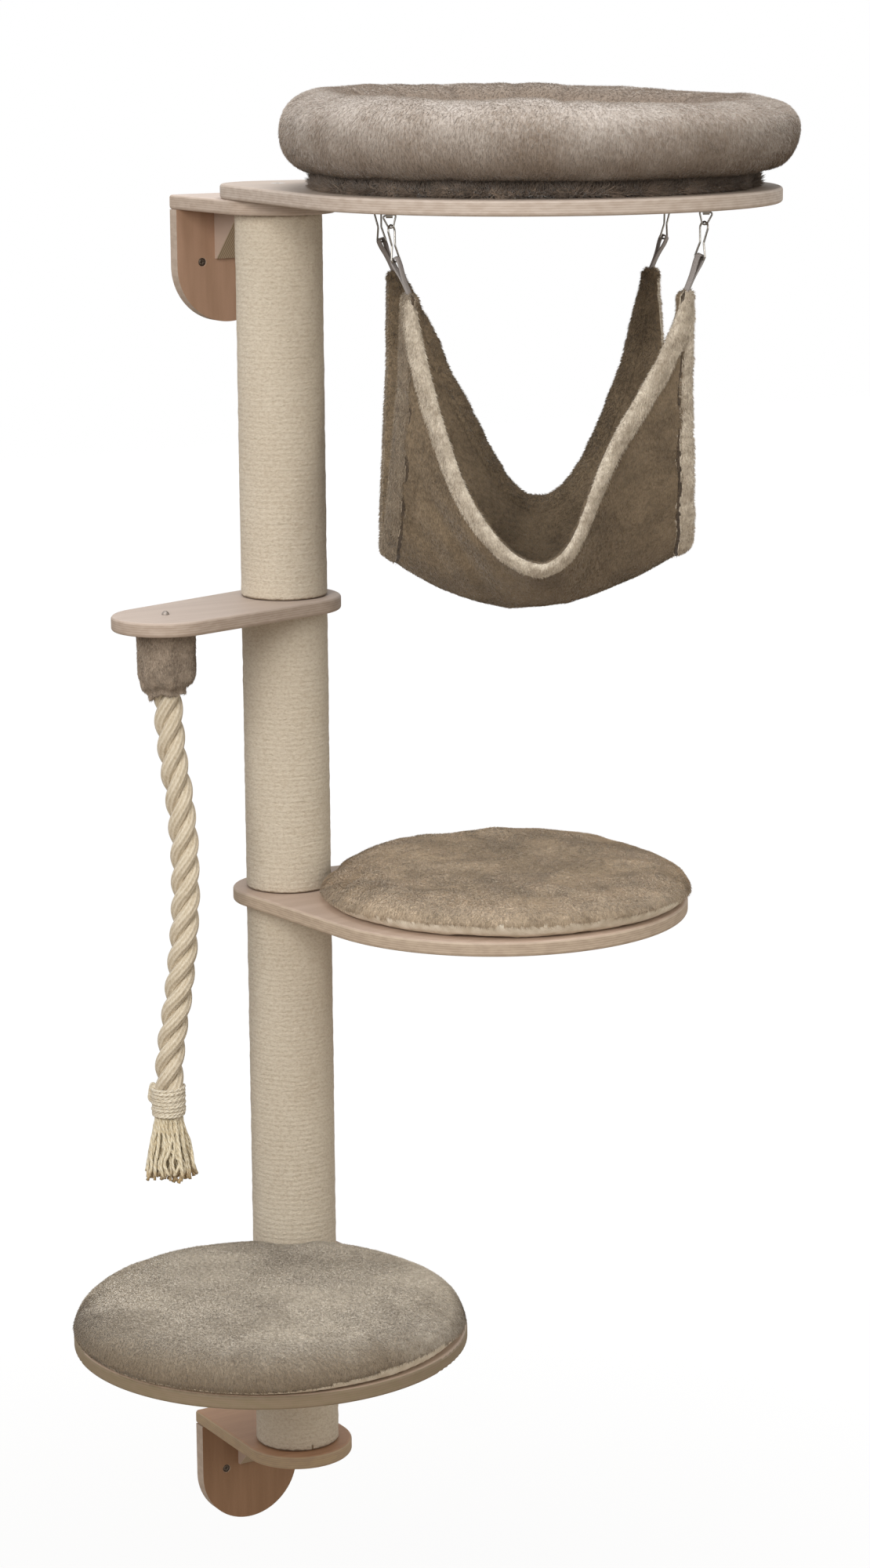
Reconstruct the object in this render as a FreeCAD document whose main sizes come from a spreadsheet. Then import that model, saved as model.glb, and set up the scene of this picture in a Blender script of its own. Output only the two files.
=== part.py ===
"""Wall mounted cat tree: a sisal post on two plywood wall brackets, with three tear-drop
shelves, a round bed, a hanging fur hammock and a rope toy.

Frame: millimetres, +Z up, the wall is the plane y = 0 and the tree stands off it towards -Y.
The origin is midway between the two wall screws of the lower bracket, on the wall face.
"""
import FreeCAD, Part
import math
import os

import Sketcher

Vector = FreeCAD.Vector
UP = Vector(0, 0, 1)

SIZES = (
    # boards and wall brackets
    ("board", 19.0),
    ("board_round", 4.0),
    ("end_radius", 75.0),
    ("wall_gap", 162.0),
    ("plate_drop", 150.0),
    ("bolt_drop", 70.0),
    ("bolt_half_spacing", 38.0),
    ("wall_hole_radius", 3.0),
    ("wall_sink", 3.0),
    ("gusset_leg", 66.0),
    ("gusset_width", 38.0),
    ("gusset_tip", 5.0),
    ("gusset_screw_high", 18.0),
    ("gusset_screw_low", 40.0),
    ("gusset_screw_length", 35.0),
    ("gusset_screw_radius", 2.2),
    ("dowel_radius", 4.0),
    ("dowel_in_board", 12.0),
    ("dowel_in_plate", 20.0),
    ("dowel_half_spacing", 48.0),
    ("play", 0.15),
    # post
    ("section_low", 250.0),
    ("section_middle", 500.0),
    ("section_rope", 375.0),
    ("section_top", 500.0),
    ("tube_radius", 50.0),
    ("tube_wall", 3.0),
    ("sisal_radius", 57.0),
    ("sisal_turned_edge", 2.0),
    ("seam_gap", 1.2),
    ("seam_turn", -97.5),
    ("disc_thick", 22.0),
    ("insert_radius", 7.0),
    ("insert_length", 16.0),
    ("stud_radius", 5.0),
    ("stud_grip", 15.0),
    ("bolt_head_radius", 9.5),
    ("bolt_head_depth", 5.0),
    ("bolt_socket_radius", 3.2),
    # shelves
    ("shelf_reach", 285.0),
    ("shelf_radius", 255.0),
    ("low_turn", -125.0),
    ("mid_turn", -45.0),
    ("top_reach", 360.0),
    ("top_radius", 310.0),
    ("top_turn", -55.0),
    ("rope_reach", 214.0),
    ("rope_end_radius", 70.0),
    ("rope_turn", -164.0),
    # cushions and bed
    ("cushion_reach", 299.0),
    ("cushion_post_gap", 3.0),
    ("low_cushion_radius", 258.0),
    ("low_cushion_high", 52.0),
    ("mid_cushion_radius", 251.0),
    ("mid_cushion_high", 42.0),
    ("bed_radius", 328.0),
    ("bed_hollow_radius", 203.0),
    ("bed_base_radius", 283.0),
    ("bed_base_high", 20.0),
    ("bed_high", 128.0),
    ("bed_cushion_radius", 199.0),
    ("bed_cushion_high", 36.0),
    # rope toy
    ("anchor_radius", 34.0),
    ("anchor_high", 60.0),
    ("anchor_screw_radius", 2.5),
    ("anchor_screw_length", 52.0),
    ("cuff_wall", 2.6),
    ("cuff_high", 100.0),
    ("rope_radius", 19.0),
    ("whipping_high", 42.0),
    ("whipping_wall", 1.6),
    ("tassel_high", 92.0),
    ("tassel_radius", 37.0),
    # hammock hangers
    ("hammock_turn", -27.5),
    ("hanger_side", 192.0),
    ("hanger_depth", 185.0),
    ("knuckle_radius", 3.5),
    ("knuckle_bore", 2.1),
    ("knuckle_length", 8.0),
    ("leaf_width", 18.0),
    ("leaf_length", 24.0),
    ("leaf_thick", 1.5),
    ("leaf_screw_at", 15.0),
    ("leaf_screw_radius", 1.75),
    ("leaf_screw_length", 15.0),
    ("leaf_screw_head", 3.8),
    ("ring_wire", 1.1),
    ("ring_half", 8.5),
    ("ring_high", 22.0),
    ("ring_bend", 2.2),
    ("ring_apex_bend", 3.8),
    ("hook_wire", 1.25),
    ("hook_half", 7.9),
    ("hook_waist", 3.0),
    ("hook_waist_at", 25.0),
    ("hook_shoulder", 9.0),
    ("hook_high", 44.0),
    ("hook_bend", 2.4),
    ("hook_turn", 50.0),
    ("link_clear", 1.0),
    ("link_lean", 7.6),
    # hammock
    ("webbing_width", 8.4),
    ("webbing_thick", 1.6),
    ("webbing_eye", 4.2),
    ("webbing_long", 37.0),
    ("webbing_sewn", 12.0),
    ("corner_side", 169.0),
    ("corner_drop", 97.0),
    ("cloth_thick", 9.0),
    ("hem_radius", 10.0),
    ("hem_apart_side", 10.2),
    ("hem_apart_depth", 8.5),
    ("hem_gap", 3.5),
    ("corner_tip", 26.0),
    ("edge_low", 433.0),
    ("belly_low", 508.0),
    ("belly_side", 196.0),
    ("arm_slope", 18.5),
    ("belly_slope", 62.0),
)

# The boards and post sections from the lower bracket up, each with the size of its height.
STOREYS = (
    ("low_board", "board"),
    ("section_1", "section_low"),
    ("low_shelf", "board"),
    ("section_2", "section_middle"),
    ("mid_shelf", "board"),
    ("section_3", "section_rope"),
    ("rope_board", "board"),
    ("section_4", "section_top"),
    ("high_board", "board"),
    ("top_shelf", "board"),
)
SECTIONS = ("section_1", "section_2", "section_3", "section_4")
CORNERS = (
    ("front_left", -1, -1),
    ("front_right", 1, -1),
    ("rear_right", 1, 1),
    ("rear_left", -1, 1),
)

# Middle line of the hanging rope: millimetres to the viewer's right of the anchor, and below it.
ROPE_ROUTE = ((0, 20), (0, 75), (17.5, 190), (18.5, 310), (6.5, 425), (-10.5, 520), (-10.5, 590))
ROPE_PLANE_TURN = -31.0

doc = FreeCAD.newDocument("CatTree")
sheet = doc.addObject("Spreadsheet::Sheet", "Sizes")
parts = []


def fill_sheet():
    """Write every driving size as a plain number under its alias."""
    for row, (alias, value) in enumerate(SIZES, start=1):
        sheet.set("A%d" % row, alias)
        sheet.set("B%d" % row, str(value))
        sheet.setAlias("B%d" % row, alias)
    doc.recompute()


def size(alias):
    """One driving size as a number."""
    return float(getattr(sheet, alias))


def storeys():
    """Expression for the underside of each storey, and of the space above the last."""
    heights = {}
    so_far = "Sizes.bolt_drop"
    for name, thickness in STOREYS:
        heights[name] = so_far
        so_far += " + Sizes." + thickness
    heights["above"] = so_far
    return heights


def height(name):
    """The underside of one storey as a number."""
    total = size("bolt_drop")
    for storey, thickness in STOREYS:
        if storey == name:
            return total
        total += size(thickness)
    return total


def post_axis():
    """The post's axis at the height of the origin."""
    return Vector(0, -size("wall_gap"), 0)


def bind(obj, **expressions):
    """Bind properties of an object to expressions on the sheet."""
    for name, expression in expressions.items():
        obj.setExpression(name, expression)


def put(obj, x="0", y="0", z="0", turn="0"):
    """Place an object by expressions, turned about its own vertical axis."""
    obj.setExpression(".Placement.Base.x", x)
    obj.setExpression(".Placement.Base.y", y)
    obj.setExpression(".Placement.Base.z", z)
    obj.setExpression(".Placement.Rotation.Angle", turn)


def keep(obj, label):
    """Name a finished sub-part and list it for export."""
    obj.Label = label
    parts.append(obj)
    return obj


def new_body(label):
    """An empty body that becomes one sub-part."""
    return keep(doc.addObject("PartDesign::Body", label), label)


def new_sketch(body, plane, name):
    """A sketch on one of the body's own origin planes."""
    sketch = body.newObject("Sketcher::SketchObject", name)
    for feature in body.Origin.OriginFeatures:
        if feature.Role == plane:
            sketch.AttachmentSupport = [(feature, "")]
    sketch.MapMode = "FlatFace"
    return sketch


def constrain(sketch, kind, places, expression):
    """Add a measured constraint that follows an expression."""
    value = sketch.evalExpression(expression)
    value = float(getattr(value, "Value", value))
    index = sketch.addConstraint(Sketcher.Constraint(kind, *places, value))
    sketch.setExpression("Constraints[%d]" % index, expression)


def pin_point(sketch, geometry, point, x, y):
    """Hold a sketch point at the expressions x and y."""
    if x == "0":
        sketch.addConstraint(Sketcher.Constraint("PointOnObject", geometry, point, -2))
    else:
        constrain(sketch, "DistanceX", (-1, 1, geometry, point), x)
    if y == "0":
        sketch.addConstraint(Sketcher.Constraint("PointOnObject", geometry, point, -1))
    else:
        constrain(sketch, "DistanceY", (-1, 1, geometry, point), y)


def number(expression):
    """The value of an expression on the sheet."""
    value = sheet.evalExpression(expression)
    return float(getattr(value, "Value", value))


def add_circle(sketch, radius, x="0", y="0"):
    """A circle with its centre and radius on the sheet."""
    centre = Vector(number(x), number(y), 0)
    index = sketch.addGeometry(Part.Circle(centre, UP, number(radius)), False)
    pin_point(sketch, index, 3, x, y)
    constrain(sketch, "Radius", (index,), radius)


def bend_points(before, corner, after, radius):
    """Where an arc of the radius leaves and joins the two sides of a corner, and its middle."""
    back = (before - corner).normalize()
    onward = (after - corner).normalize()
    half_angle = back.getAngle(onward) / 2
    reach = radius / math.tan(half_angle)
    middle_way = (back + onward).normalize()
    centre = corner + middle_way * (radius / math.sin(half_angle))
    return corner + back * reach, centre - middle_way * radius, corner + onward * reach


def add_outline(sketch, corners):
    """A closed outline through corners (x, y, bend radius or None), all of them expressions."""
    spots = [Vector(number(x), number(y), 0) for x, y, _ in corners]
    count = len(corners)
    marks = []
    bends = []
    for index, (x, y, bend) in enumerate(corners):
        mark = sketch.addGeometry(Part.Point(spots[index]), True)
        pin_point(sketch, mark, 1, x, y)
        marks.append(mark)
        ring = spots[index - 1], spots[index], spots[(index + 1) % count]
        bends.append(bend_points(*ring, number(bend)) if bend else None)
    lines = []
    for index in range(count):
        following = (index + 1) % count
        start = bends[index][2] if bends[index] else spots[index]
        end = bends[following][0] if bends[following] else spots[following]
        lines.append(sketch.addGeometry(Part.LineSegment(start, end), False))
    for index, (_, _, bend) in enumerate(corners):
        join_corner(sketch, marks[index], lines[index - 1], lines[index], bends[index], bend)


def join_corner(sketch, mark, line_in, line_out, arc_points, bend):
    """Join two sides at their corner mark, with a tangent arc where the corner is bent."""
    if not bend:
        sketch.addConstraint(Sketcher.Constraint("Coincident", line_in, 2, mark, 1))
        sketch.addConstraint(Sketcher.Constraint("Coincident", line_out, 1, mark, 1))
        return
    sketch.addConstraint(Sketcher.Constraint("PointOnObject", mark, 1, line_in))
    sketch.addConstraint(Sketcher.Constraint("PointOnObject", mark, 1, line_out))
    arc = sketch.addGeometry(Part.Arc(*arc_points), False)
    turned_in = sketch.getPoint(arc, 1).distanceToPoint(arc_points[0]) < 1e-6
    first, last = (1, 2) if turned_in else (2, 1)
    sketch.addConstraint(Sketcher.Constraint("Tangent", line_in, 2, arc, first))
    sketch.addConstraint(Sketcher.Constraint("Tangent", line_out, 1, arc, last))
    constrain(sketch, "Radius", (arc,), bend)


def pad(body, sketch, length, middle=False):
    """Pad a sketch of the body by an expression."""
    feature = body.newObject("PartDesign::Pad", sketch.Name + "_pad")
    feature.Profile = sketch
    feature.setExpression("Length", length)
    feature.Midplane = middle
    sketch.Visibility = False
    doc.recompute()
    return feature


def pocket(body, sketch, depth, backwards=False):
    """Cut a sketch into the body by an expression, and check that it cuts."""
    before = body.Shape.Volume
    feature = body.newObject("PartDesign::Pocket", sketch.Name + "_cut")
    feature.Profile = sketch
    feature.setExpression("Length", depth)
    feature.Reversed = backwards
    doc.recompute()
    if body.Shape.Volume > before - 1e-3:
        raise RuntimeError("%s cuts nothing" % feature.Name)
    return feature


def revolve(body, sketch, axis="V_Axis"):
    """Turn a sketch of the body through a full circle."""
    feature = body.newObject("PartDesign::Revolution", sketch.Name + "_turned")
    feature.Profile = sketch
    feature.ReferenceAxis = (sketch, [axis])
    feature.Angle = 360
    doc.recompute()
    return feature


def level_edges(shape, level, longest_circle):
    """Names of the edges that lie at one height, without circles up to a radius."""
    names = []
    for index, edge in enumerate(shape.Edges, start=1):
        box = edge.BoundBox
        flat = abs(box.ZMin - level) < 1e-4 and abs(box.ZMax - level) < 1e-4
        small = edge.isClosed() and box.XLength < 2 * longest_circle + 1e-3
        if flat and not small:
            names.append("Edge%d" % index)
    return names


def round_rims(body, radius, levels, longest_circle=20.0):
    """Round the outer edges of a padded board at the given heights."""
    base = body.Tip
    names = []
    for level in levels:
        names += level_edges(base.Shape, level, longest_circle)
    feature = body.newObject("PartDesign::Fillet", body.Name + "_rounded")
    feature.Base = (base, names)
    feature.setExpression("Radius", radius)
    doc.recompute()
    return feature


# ---------------------------------------------------------------- boards and brackets


def add_tear_drop(sketch, end, reach, far):
    """A tear-drop outline: an arc round the post, a larger one out at the reach, two tangents."""
    near_r, far_r, distance = number(end), number(far), number(reach)
    lean = math.asin((far_r - near_r) / distance)
    normal = Vector(-math.sin(lean), math.cos(lean), 0)
    mirror = Vector(normal.x, -normal.y, 0)
    middle = Vector(distance, 0, 0)
    spread = math.pi / 2 + lean
    near = Part.ArcOfCircle(Part.Circle(Vector(), UP, near_r), spread, 2 * math.pi - spread)
    big = Part.ArcOfCircle(Part.Circle(middle, UP, far_r), -spread, spread)
    upper = Part.LineSegment(middle + normal * far_r, normal * near_r)
    lower = Part.LineSegment(mirror * near_r, middle + mirror * far_r)
    near, lower, big, upper = [sketch.addGeometry(g, False) for g in (near, lower, big, upper)]
    for first, first_end, second, second_end in (
        (near, 2, lower, 1),
        (lower, 2, big, 1),
        (big, 2, upper, 1),
        (upper, 2, near, 1),
    ):
        tangent = Sketcher.Constraint("Tangent", first, first_end, second, second_end)
        sketch.addConstraint(tangent)
    sketch.addConstraint(Sketcher.Constraint("Coincident", near, 3, -1, 1))
    pin_point(sketch, big, 3, reach, "0")
    constrain(sketch, "Radius", (near,), end)
    constrain(sketch, "Radius", (big,), far)


def shelf(label, storey, reach, far, turn, extra_hole=None):
    """One tear-drop board, clamped round the post's joining stud."""
    body = new_body(label)
    sketch = new_sketch(body, "XY_Plane", label + "_outline")
    add_tear_drop(sketch, "Sizes.end_radius", reach, far)
    add_circle(sketch, "Sizes.stud_radius + 0.5")
    if extra_hole:
        add_circle(sketch, extra_hole, x=reach)
    pad(body, sketch, "Sizes.board")
    round_rims(body, "Sizes.board_round", (0, size("board")))
    put(body, y="-Sizes.wall_gap", z=storeys()[storey], turn=turn)
    return body


def sink_for_bolt(body, level, downwards):
    """Countersink the stud hole of a board for the flat head of an end bolt."""
    sketch = new_sketch(body, "XZ_Plane", body.Name + "_sink")
    step = "-" if downwards else "+"
    add_outline(
        sketch,
        (
            ("0", level, None),
            ("Sizes.bolt_head_radius + Sizes.play", level, None),
            ("Sizes.stud_radius + Sizes.play", level + step + "Sizes.bolt_head_depth", None),
            ("0", level + step + "Sizes.bolt_head_depth", None),
        ),
    )
    before = body.Shape.Volume
    feature = body.newObject("PartDesign::Groove", sketch.Name + "_turned")
    feature.Profile = sketch
    feature.ReferenceAxis = (sketch, ["V_Axis"])
    feature.Angle = 360
    doc.recompute()
    if body.Shape.Volume > before - 1e-3:
        raise RuntimeError("%s cuts nothing" % feature.Name)


def hanger_pilot_holes(body):
    """Blind holes under the top shelf for the screws of the hammock's hanger plates."""
    holes = new_sketch(body, "XY_Plane", "hanger_pilot_holes")
    turn = "(Sizes.hammock_turn - Sizes.top_turn)"
    for _, side, rear in CORNERS:
        along = "(%d * Sizes.hanger_side)" % side
        deep = "(%d * (Sizes.hanger_depth - Sizes.leaf_screw_at))" % rear
        add_circle(
            holes,
            "Sizes.leaf_screw_radius + Sizes.play",
            x="Sizes.top_reach + %s * cos(%s) - %s * sin(%s)" % (along, turn, deep, turn),
            y="%s * sin(%s) + %s * cos(%s)" % (along, turn, deep, turn),
        )
    pocket(body, holes, "Sizes.leaf_screw_length + Sizes.play", backwards=True)


def add_board_end(sketch):
    """Outline of a bracket board: straight from the wall, half round about the post axis."""
    radius, gap = size("end_radius"), size("wall_gap")
    left, right = Vector(-radius, 0, 0), Vector(radius, 0, 0)
    wall_left, wall_right = Vector(-radius, gap, 0), Vector(radius, gap, 0)
    arc = Part.ArcOfCircle(Part.Circle(Vector(), UP, radius), math.pi, 2 * math.pi)
    shapes = (
        Part.LineSegment(wall_left, left),
        arc,
        Part.LineSegment(right, wall_right),
        Part.LineSegment(wall_right, wall_left),
    )
    side_l, arc, side_r, back = [sketch.addGeometry(shape, False) for shape in shapes]
    sketch.addConstraint(Sketcher.Constraint("Tangent", side_l, 2, arc, 1))
    sketch.addConstraint(Sketcher.Constraint("Tangent", arc, 2, side_r, 1))
    sketch.addConstraint(Sketcher.Constraint("Coincident", side_r, 2, back, 1))
    sketch.addConstraint(Sketcher.Constraint("Coincident", back, 2, side_l, 1))
    sketch.addConstraint(Sketcher.Constraint("Vertical", side_l))
    sketch.addConstraint(Sketcher.Constraint("Vertical", side_r))
    sketch.addConstraint(Sketcher.Constraint("Horizontal", back))
    sketch.addConstraint(Sketcher.Constraint("Coincident", arc, 3, -1, 1))
    constrain(sketch, "Radius", (arc,), "Sizes.end_radius")
    constrain(sketch, "DistanceY", (-1, 1, back, 1), "Sizes.wall_gap")


def bracket_board(label, storey):
    """The board that joins a wall plate to the post."""
    body = new_body(label)
    sketch = new_sketch(body, "XY_Plane", label + "_outline")
    add_board_end(sketch)
    add_circle(sketch, "Sizes.stud_radius + 0.5")
    pad(body, sketch, "Sizes.board")
    holes = new_sketch(body, "XY_Plane", label + "_dowel_holes")
    for side in ("-", ""):
        add_circle(
            holes,
            "Sizes.dowel_radius + Sizes.play",
            x=side + "Sizes.dowel_half_spacing",
            y="Sizes.wall_gap - Sizes.board / 2",
        )
    pocket(body, holes, "Sizes.dowel_in_board + Sizes.play", backwards=True)
    base = body.Tip
    names = []
    for index, edge in enumerate(base.Shape.Edges, start=1):
        box = edge.BoundBox
        rim = box.ZLength < 1e-4 and box.YMin < size("wall_gap") - 1
        if rim and not edge.isClosed():
            names.append("Edge%d" % index)
    feature = body.newObject("PartDesign::Fillet", label + "_rounded")
    feature.Base = (base, names)
    feature.setExpression("Radius", "Sizes.board_round")
    doc.recompute()
    put(body, y="-Sizes.wall_gap", z=storeys()[storey])
    return body


def add_plate_outline(sketch):
    """Wall plate seen from the front: square at the top, half round at the bottom."""
    radius = size("end_radius")
    straight = size("plate_drop") - radius
    corner_l, corner_r = Vector(-radius, 0, 0), Vector(radius, 0, 0)
    low_l, low_r = Vector(-radius, -straight, 0), Vector(radius, -straight, 0)
    middle = Vector(0, -straight, 0)
    shapes = (
        Part.LineSegment(corner_l, low_l),
        Part.ArcOfCircle(Part.Circle(middle, UP, radius), math.pi, 2 * math.pi),
        Part.LineSegment(low_r, corner_r),
        Part.LineSegment(corner_r, corner_l),
    )
    side_l, arc, side_r, top = [sketch.addGeometry(shape, False) for shape in shapes]
    sketch.addConstraint(Sketcher.Constraint("Tangent", side_l, 2, arc, 1))
    sketch.addConstraint(Sketcher.Constraint("Tangent", arc, 2, side_r, 1))
    sketch.addConstraint(Sketcher.Constraint("Coincident", side_r, 2, top, 1))
    sketch.addConstraint(Sketcher.Constraint("Coincident", top, 2, side_l, 1))
    sketch.addConstraint(Sketcher.Constraint("Vertical", side_l))
    sketch.addConstraint(Sketcher.Constraint("Vertical", side_r))
    sketch.addConstraint(Sketcher.Constraint("PointOnObject", top, 1, -1))
    sketch.addConstraint(Sketcher.Constraint("Horizontal", top))
    constrain(sketch, "Radius", (arc,), "Sizes.end_radius")
    pin_point(sketch, arc, 3, "0", "Sizes.end_radius - Sizes.plate_drop")


def chamfer_holes(body, level_y, radius, width):
    """Countersink round holes of one radius where they meet the face at level_y."""
    base = body.Tip
    names = []
    for index, edge in enumerate(base.Shape.Edges, start=1):
        box = edge.BoundBox
        round_hole = edge.isClosed() and abs(box.XLength - 2 * number(radius)) < 1e-3
        if round_hole and abs(box.YMin - level_y) < 1e-4 and box.YLength < 1e-4:
            names.append("Edge%d" % index)
    feature = body.newObject("PartDesign::Chamfer", body.Name + "_sunk_%d" % len(body.Group))
    feature.Base = (base, names)
    feature.setExpression("Size", width)
    doc.recompute()


def wall_plate(label, storey):
    """Plate against the wall under a bracket board; its top edge meets the board."""
    body = new_body(label)
    sketch = new_sketch(body, "XZ_Plane", label + "_outline")
    add_plate_outline(sketch)
    for side in ("-", ""):
        x = side + "Sizes.bolt_half_spacing"
        add_circle(sketch, "Sizes.wall_hole_radius", x=x, y="-Sizes.bolt_drop")
    for drop in ("Sizes.gusset_screw_high", "Sizes.gusset_screw_low"):
        add_circle(sketch, "Sizes.gusset_screw_radius + Sizes.play", y="-" + drop)
    pad(body, sketch, "Sizes.board")
    front = -size("board")
    chamfer_holes(body, front, "Sizes.wall_hole_radius", "Sizes.wall_sink")
    gusset_hole = "Sizes.gusset_screw_radius + Sizes.play"
    chamfer_holes(body, 0, gusset_hole, "Sizes.gusset_screw_radius")
    holes = new_sketch(body, "XY_Plane", label + "_dowel_holes")
    for side in ("-", ""):
        add_circle(
            holes,
            "Sizes.dowel_radius + Sizes.play",
            x=side + "Sizes.dowel_half_spacing",
            y="-Sizes.board / 2",
        )
    pocket(body, holes, "Sizes.dowel_in_plate + Sizes.play")
    put(body, z=storeys()[storey])
    return body


def gusset(label, storey):
    """Triangular block in the corner under a bracket board."""
    body = new_body(label)
    sketch = new_sketch(body, "YZ_Plane", label + "_outline")
    back = "-Sizes.board"
    out = "-Sizes.board - Sizes.gusset_leg"
    corners = (
        (back, "0", None),
        (back, "-Sizes.gusset_leg", None),
        (back + " - Sizes.gusset_tip", "-Sizes.gusset_leg", None),
        (out, "-Sizes.gusset_tip", None),
        (out, "0", None),
    )
    add_outline(sketch, corners)
    pad(body, sketch, "Sizes.gusset_width", middle=True)
    holes = new_sketch(body, "XZ_Plane", label + "_pilot_holes")
    for drop in ("Sizes.gusset_screw_high", "Sizes.gusset_screw_low"):
        add_circle(holes, "Sizes.gusset_screw_radius + Sizes.play", y="-" + drop)
    pocket(body, holes, "Sizes.gusset_screw_length + Sizes.play", backwards=True)
    put(body, z=storeys()[storey])
    return body


def cylinder(radius, length, name):
    """A cylinder primitive with its sizes on the sheet."""
    item = doc.addObject("Part::Cylinder", name)
    bind(item, Radius=radius, Height=length)
    return item


def cone(low, high, length, name):
    """A cone primitive with its sizes on the sheet."""
    item = doc.addObject("Part::Cone", name)
    bind(item, Radius1=low, Radius2=high, Height=length)
    return item


def fuse(first, second, name):
    """One solid of two overlapping primitives."""
    item = doc.addObject("Part::Fuse", name)
    item.Base, item.Tool = first, second
    return item


def group(items, label):
    """Identical fasteners as one sub-part of separate solids."""
    item = doc.addObject("Part::Compound", label)
    item.Links = items
    return keep(item, label)


def dowels(label, storey):
    """Two wooden dowels between a bracket board and its wall plate."""
    pins = []
    for name, side in (("_left", "-"), ("_right", "")):
        length = "Sizes.dowel_in_board + Sizes.dowel_in_plate"
        pin = cylinder("Sizes.dowel_radius", length, label + name)
        bottom = storeys()[storey] + " - Sizes.dowel_in_plate"
        put(pin, side + "Sizes.dowel_half_spacing", "-Sizes.board / 2", bottom)
        pins.append(pin)
    return group(pins, label)


def lay_forward(item):
    """Turn a fastener so that it points from the wall into the tree."""
    item.setExpression(".Placement.Rotation.Angle", "90")
    item.setExpression(".Placement.Rotation.Axis.x", "1")
    item.setExpression(".Placement.Rotation.Axis.y", "0")
    item.setExpression(".Placement.Rotation.Axis.z", "0")


def gusset_screws(label, storey):
    """Two flat-head screws from the back of a wall plate into its gusset."""
    screws = []
    for name, drop in (("_high", "gusset_screw_high"), ("_low", "gusset_screw_low")):
        radius = "Sizes.gusset_screw_radius"
        shank = cylinder(radius, "Sizes.gusset_screw_length", label + name + "_shank")
        head = cone("2 * " + radius, radius, radius, label + name + "_head")
        screw = fuse(shank, head, label + name)
        put(screw, z=storeys()[storey] + " - Sizes." + drop)
        lay_forward(screw)
        screws.append(screw)
    return group(screws, label)


def bracket(side, storey):
    """One complete wall bracket."""
    bracket_board(side + "_bracket_board", storey)
    wall_plate(side + "_wall_plate", storey)
    gusset(side + "_gusset", storey)
    dowels(side + "_dowels", storey)
    gusset_screws(side + "_gusset_screws", storey)


# ---------------------------------------------------------------- post


def post_tube(number_of, storey, length):
    """Cardboard core tube of one post section."""
    label = "post_tube_%d" % number_of
    body = new_body(label)
    sketch = new_sketch(body, "XY_Plane", label + "_ring")
    add_circle(sketch, "Sizes.tube_radius")
    add_circle(sketch, "Sizes.tube_radius - Sizes.tube_wall")
    pad(body, sketch, length)
    put(body, y="-Sizes.wall_gap", z=storeys()[storey])


def sisal_cover(number_of, storey, length):
    """Sisal mat wrapped once round a core tube, with its butt seam and turned edges."""
    label = "sisal_cover_%d" % number_of
    body = new_body(label)
    sketch = new_sketch(body, "XZ_Plane", label + "_section")
    inner = "Sizes.tube_radius + Sizes.play"
    outer = "Sizes.sisal_radius"
    edge = "Sizes.sisal_turned_edge"
    corners = (
        (inner, "0", None),
        (outer, "0", edge),
        (outer, length, edge),
        (inner, length, None),
    )
    add_outline(sketch, corners)
    revolve(body, sketch)
    slit = new_sketch(body, "XY_Plane", label + "_seam")
    half = "Sizes.seam_gap / 2"
    corners = (
        ("Sizes.tube_radius - 1", "-" + half, None),
        ("Sizes.sisal_radius + 1", "-" + half, None),
        ("Sizes.sisal_radius + 1", half, None),
        ("Sizes.tube_radius - 1", half, None),
    )
    add_outline(slit, corners)
    pocket(body, slit, length, backwards=True)
    put(body, y="-Sizes.wall_gap", z=storeys()[storey], turn="Sizes.seam_turn")


def drilled_disc(outer, bore, length, name):
    """A round disc or sleeve with a hole through its middle."""
    solid = cylinder(outer, length, name + "_outside")
    hole = cylinder(bore, length, name + "_bore")
    item = doc.addObject("Part::Cut", name)
    item.Base, item.Tool = solid, hole
    return item


def end_discs_and_inserts():
    """Wooden discs in both ends of each tube, each with a threaded insert."""
    discs = []
    inserts = []
    for storey, thickness in STOREYS:
        if storey not in SECTIONS:
            continue
        bottom = storeys()[storey]
        top = bottom + " + Sizes." + thickness
        for name, disc_z, insert_z in (
            ("_low", bottom, bottom),
            ("_high", top + " - Sizes.disc_thick", top + " - Sizes.insert_length"),
        ):
            radius = "Sizes.tube_radius - Sizes.tube_wall - Sizes.play"
            bore = "Sizes.insert_radius + Sizes.play"
            disc = drilled_disc(radius, bore, "Sizes.disc_thick", storey + name + "_disc")
            put(disc, y="-Sizes.wall_gap", z=disc_z)
            discs.append(disc)
            bore = "Sizes.stud_radius + Sizes.play"
            label = storey + name + "_insert"
            sleeve = drilled_disc("Sizes.insert_radius", bore, "Sizes.insert_length", label)
            put(sleeve, y="-Sizes.wall_gap", z=insert_z)
            inserts.append(sleeve)
    group(discs, "tube_end_discs")
    group(inserts, "threaded_inserts")


def joining_studs():
    """Threaded studs that clamp a board between two post sections."""
    studs = []
    for storey in ("low_shelf", "mid_shelf", "rope_board"):
        length = "Sizes.board + 2 * Sizes.stud_grip"
        stud = cylinder("Sizes.stud_radius", length, storey + "_stud")
        put(stud, y="-Sizes.wall_gap", z=storeys()[storey] + " - Sizes.stud_grip")
        studs.append(stud)
    group(studs, "joining_studs")


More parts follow.
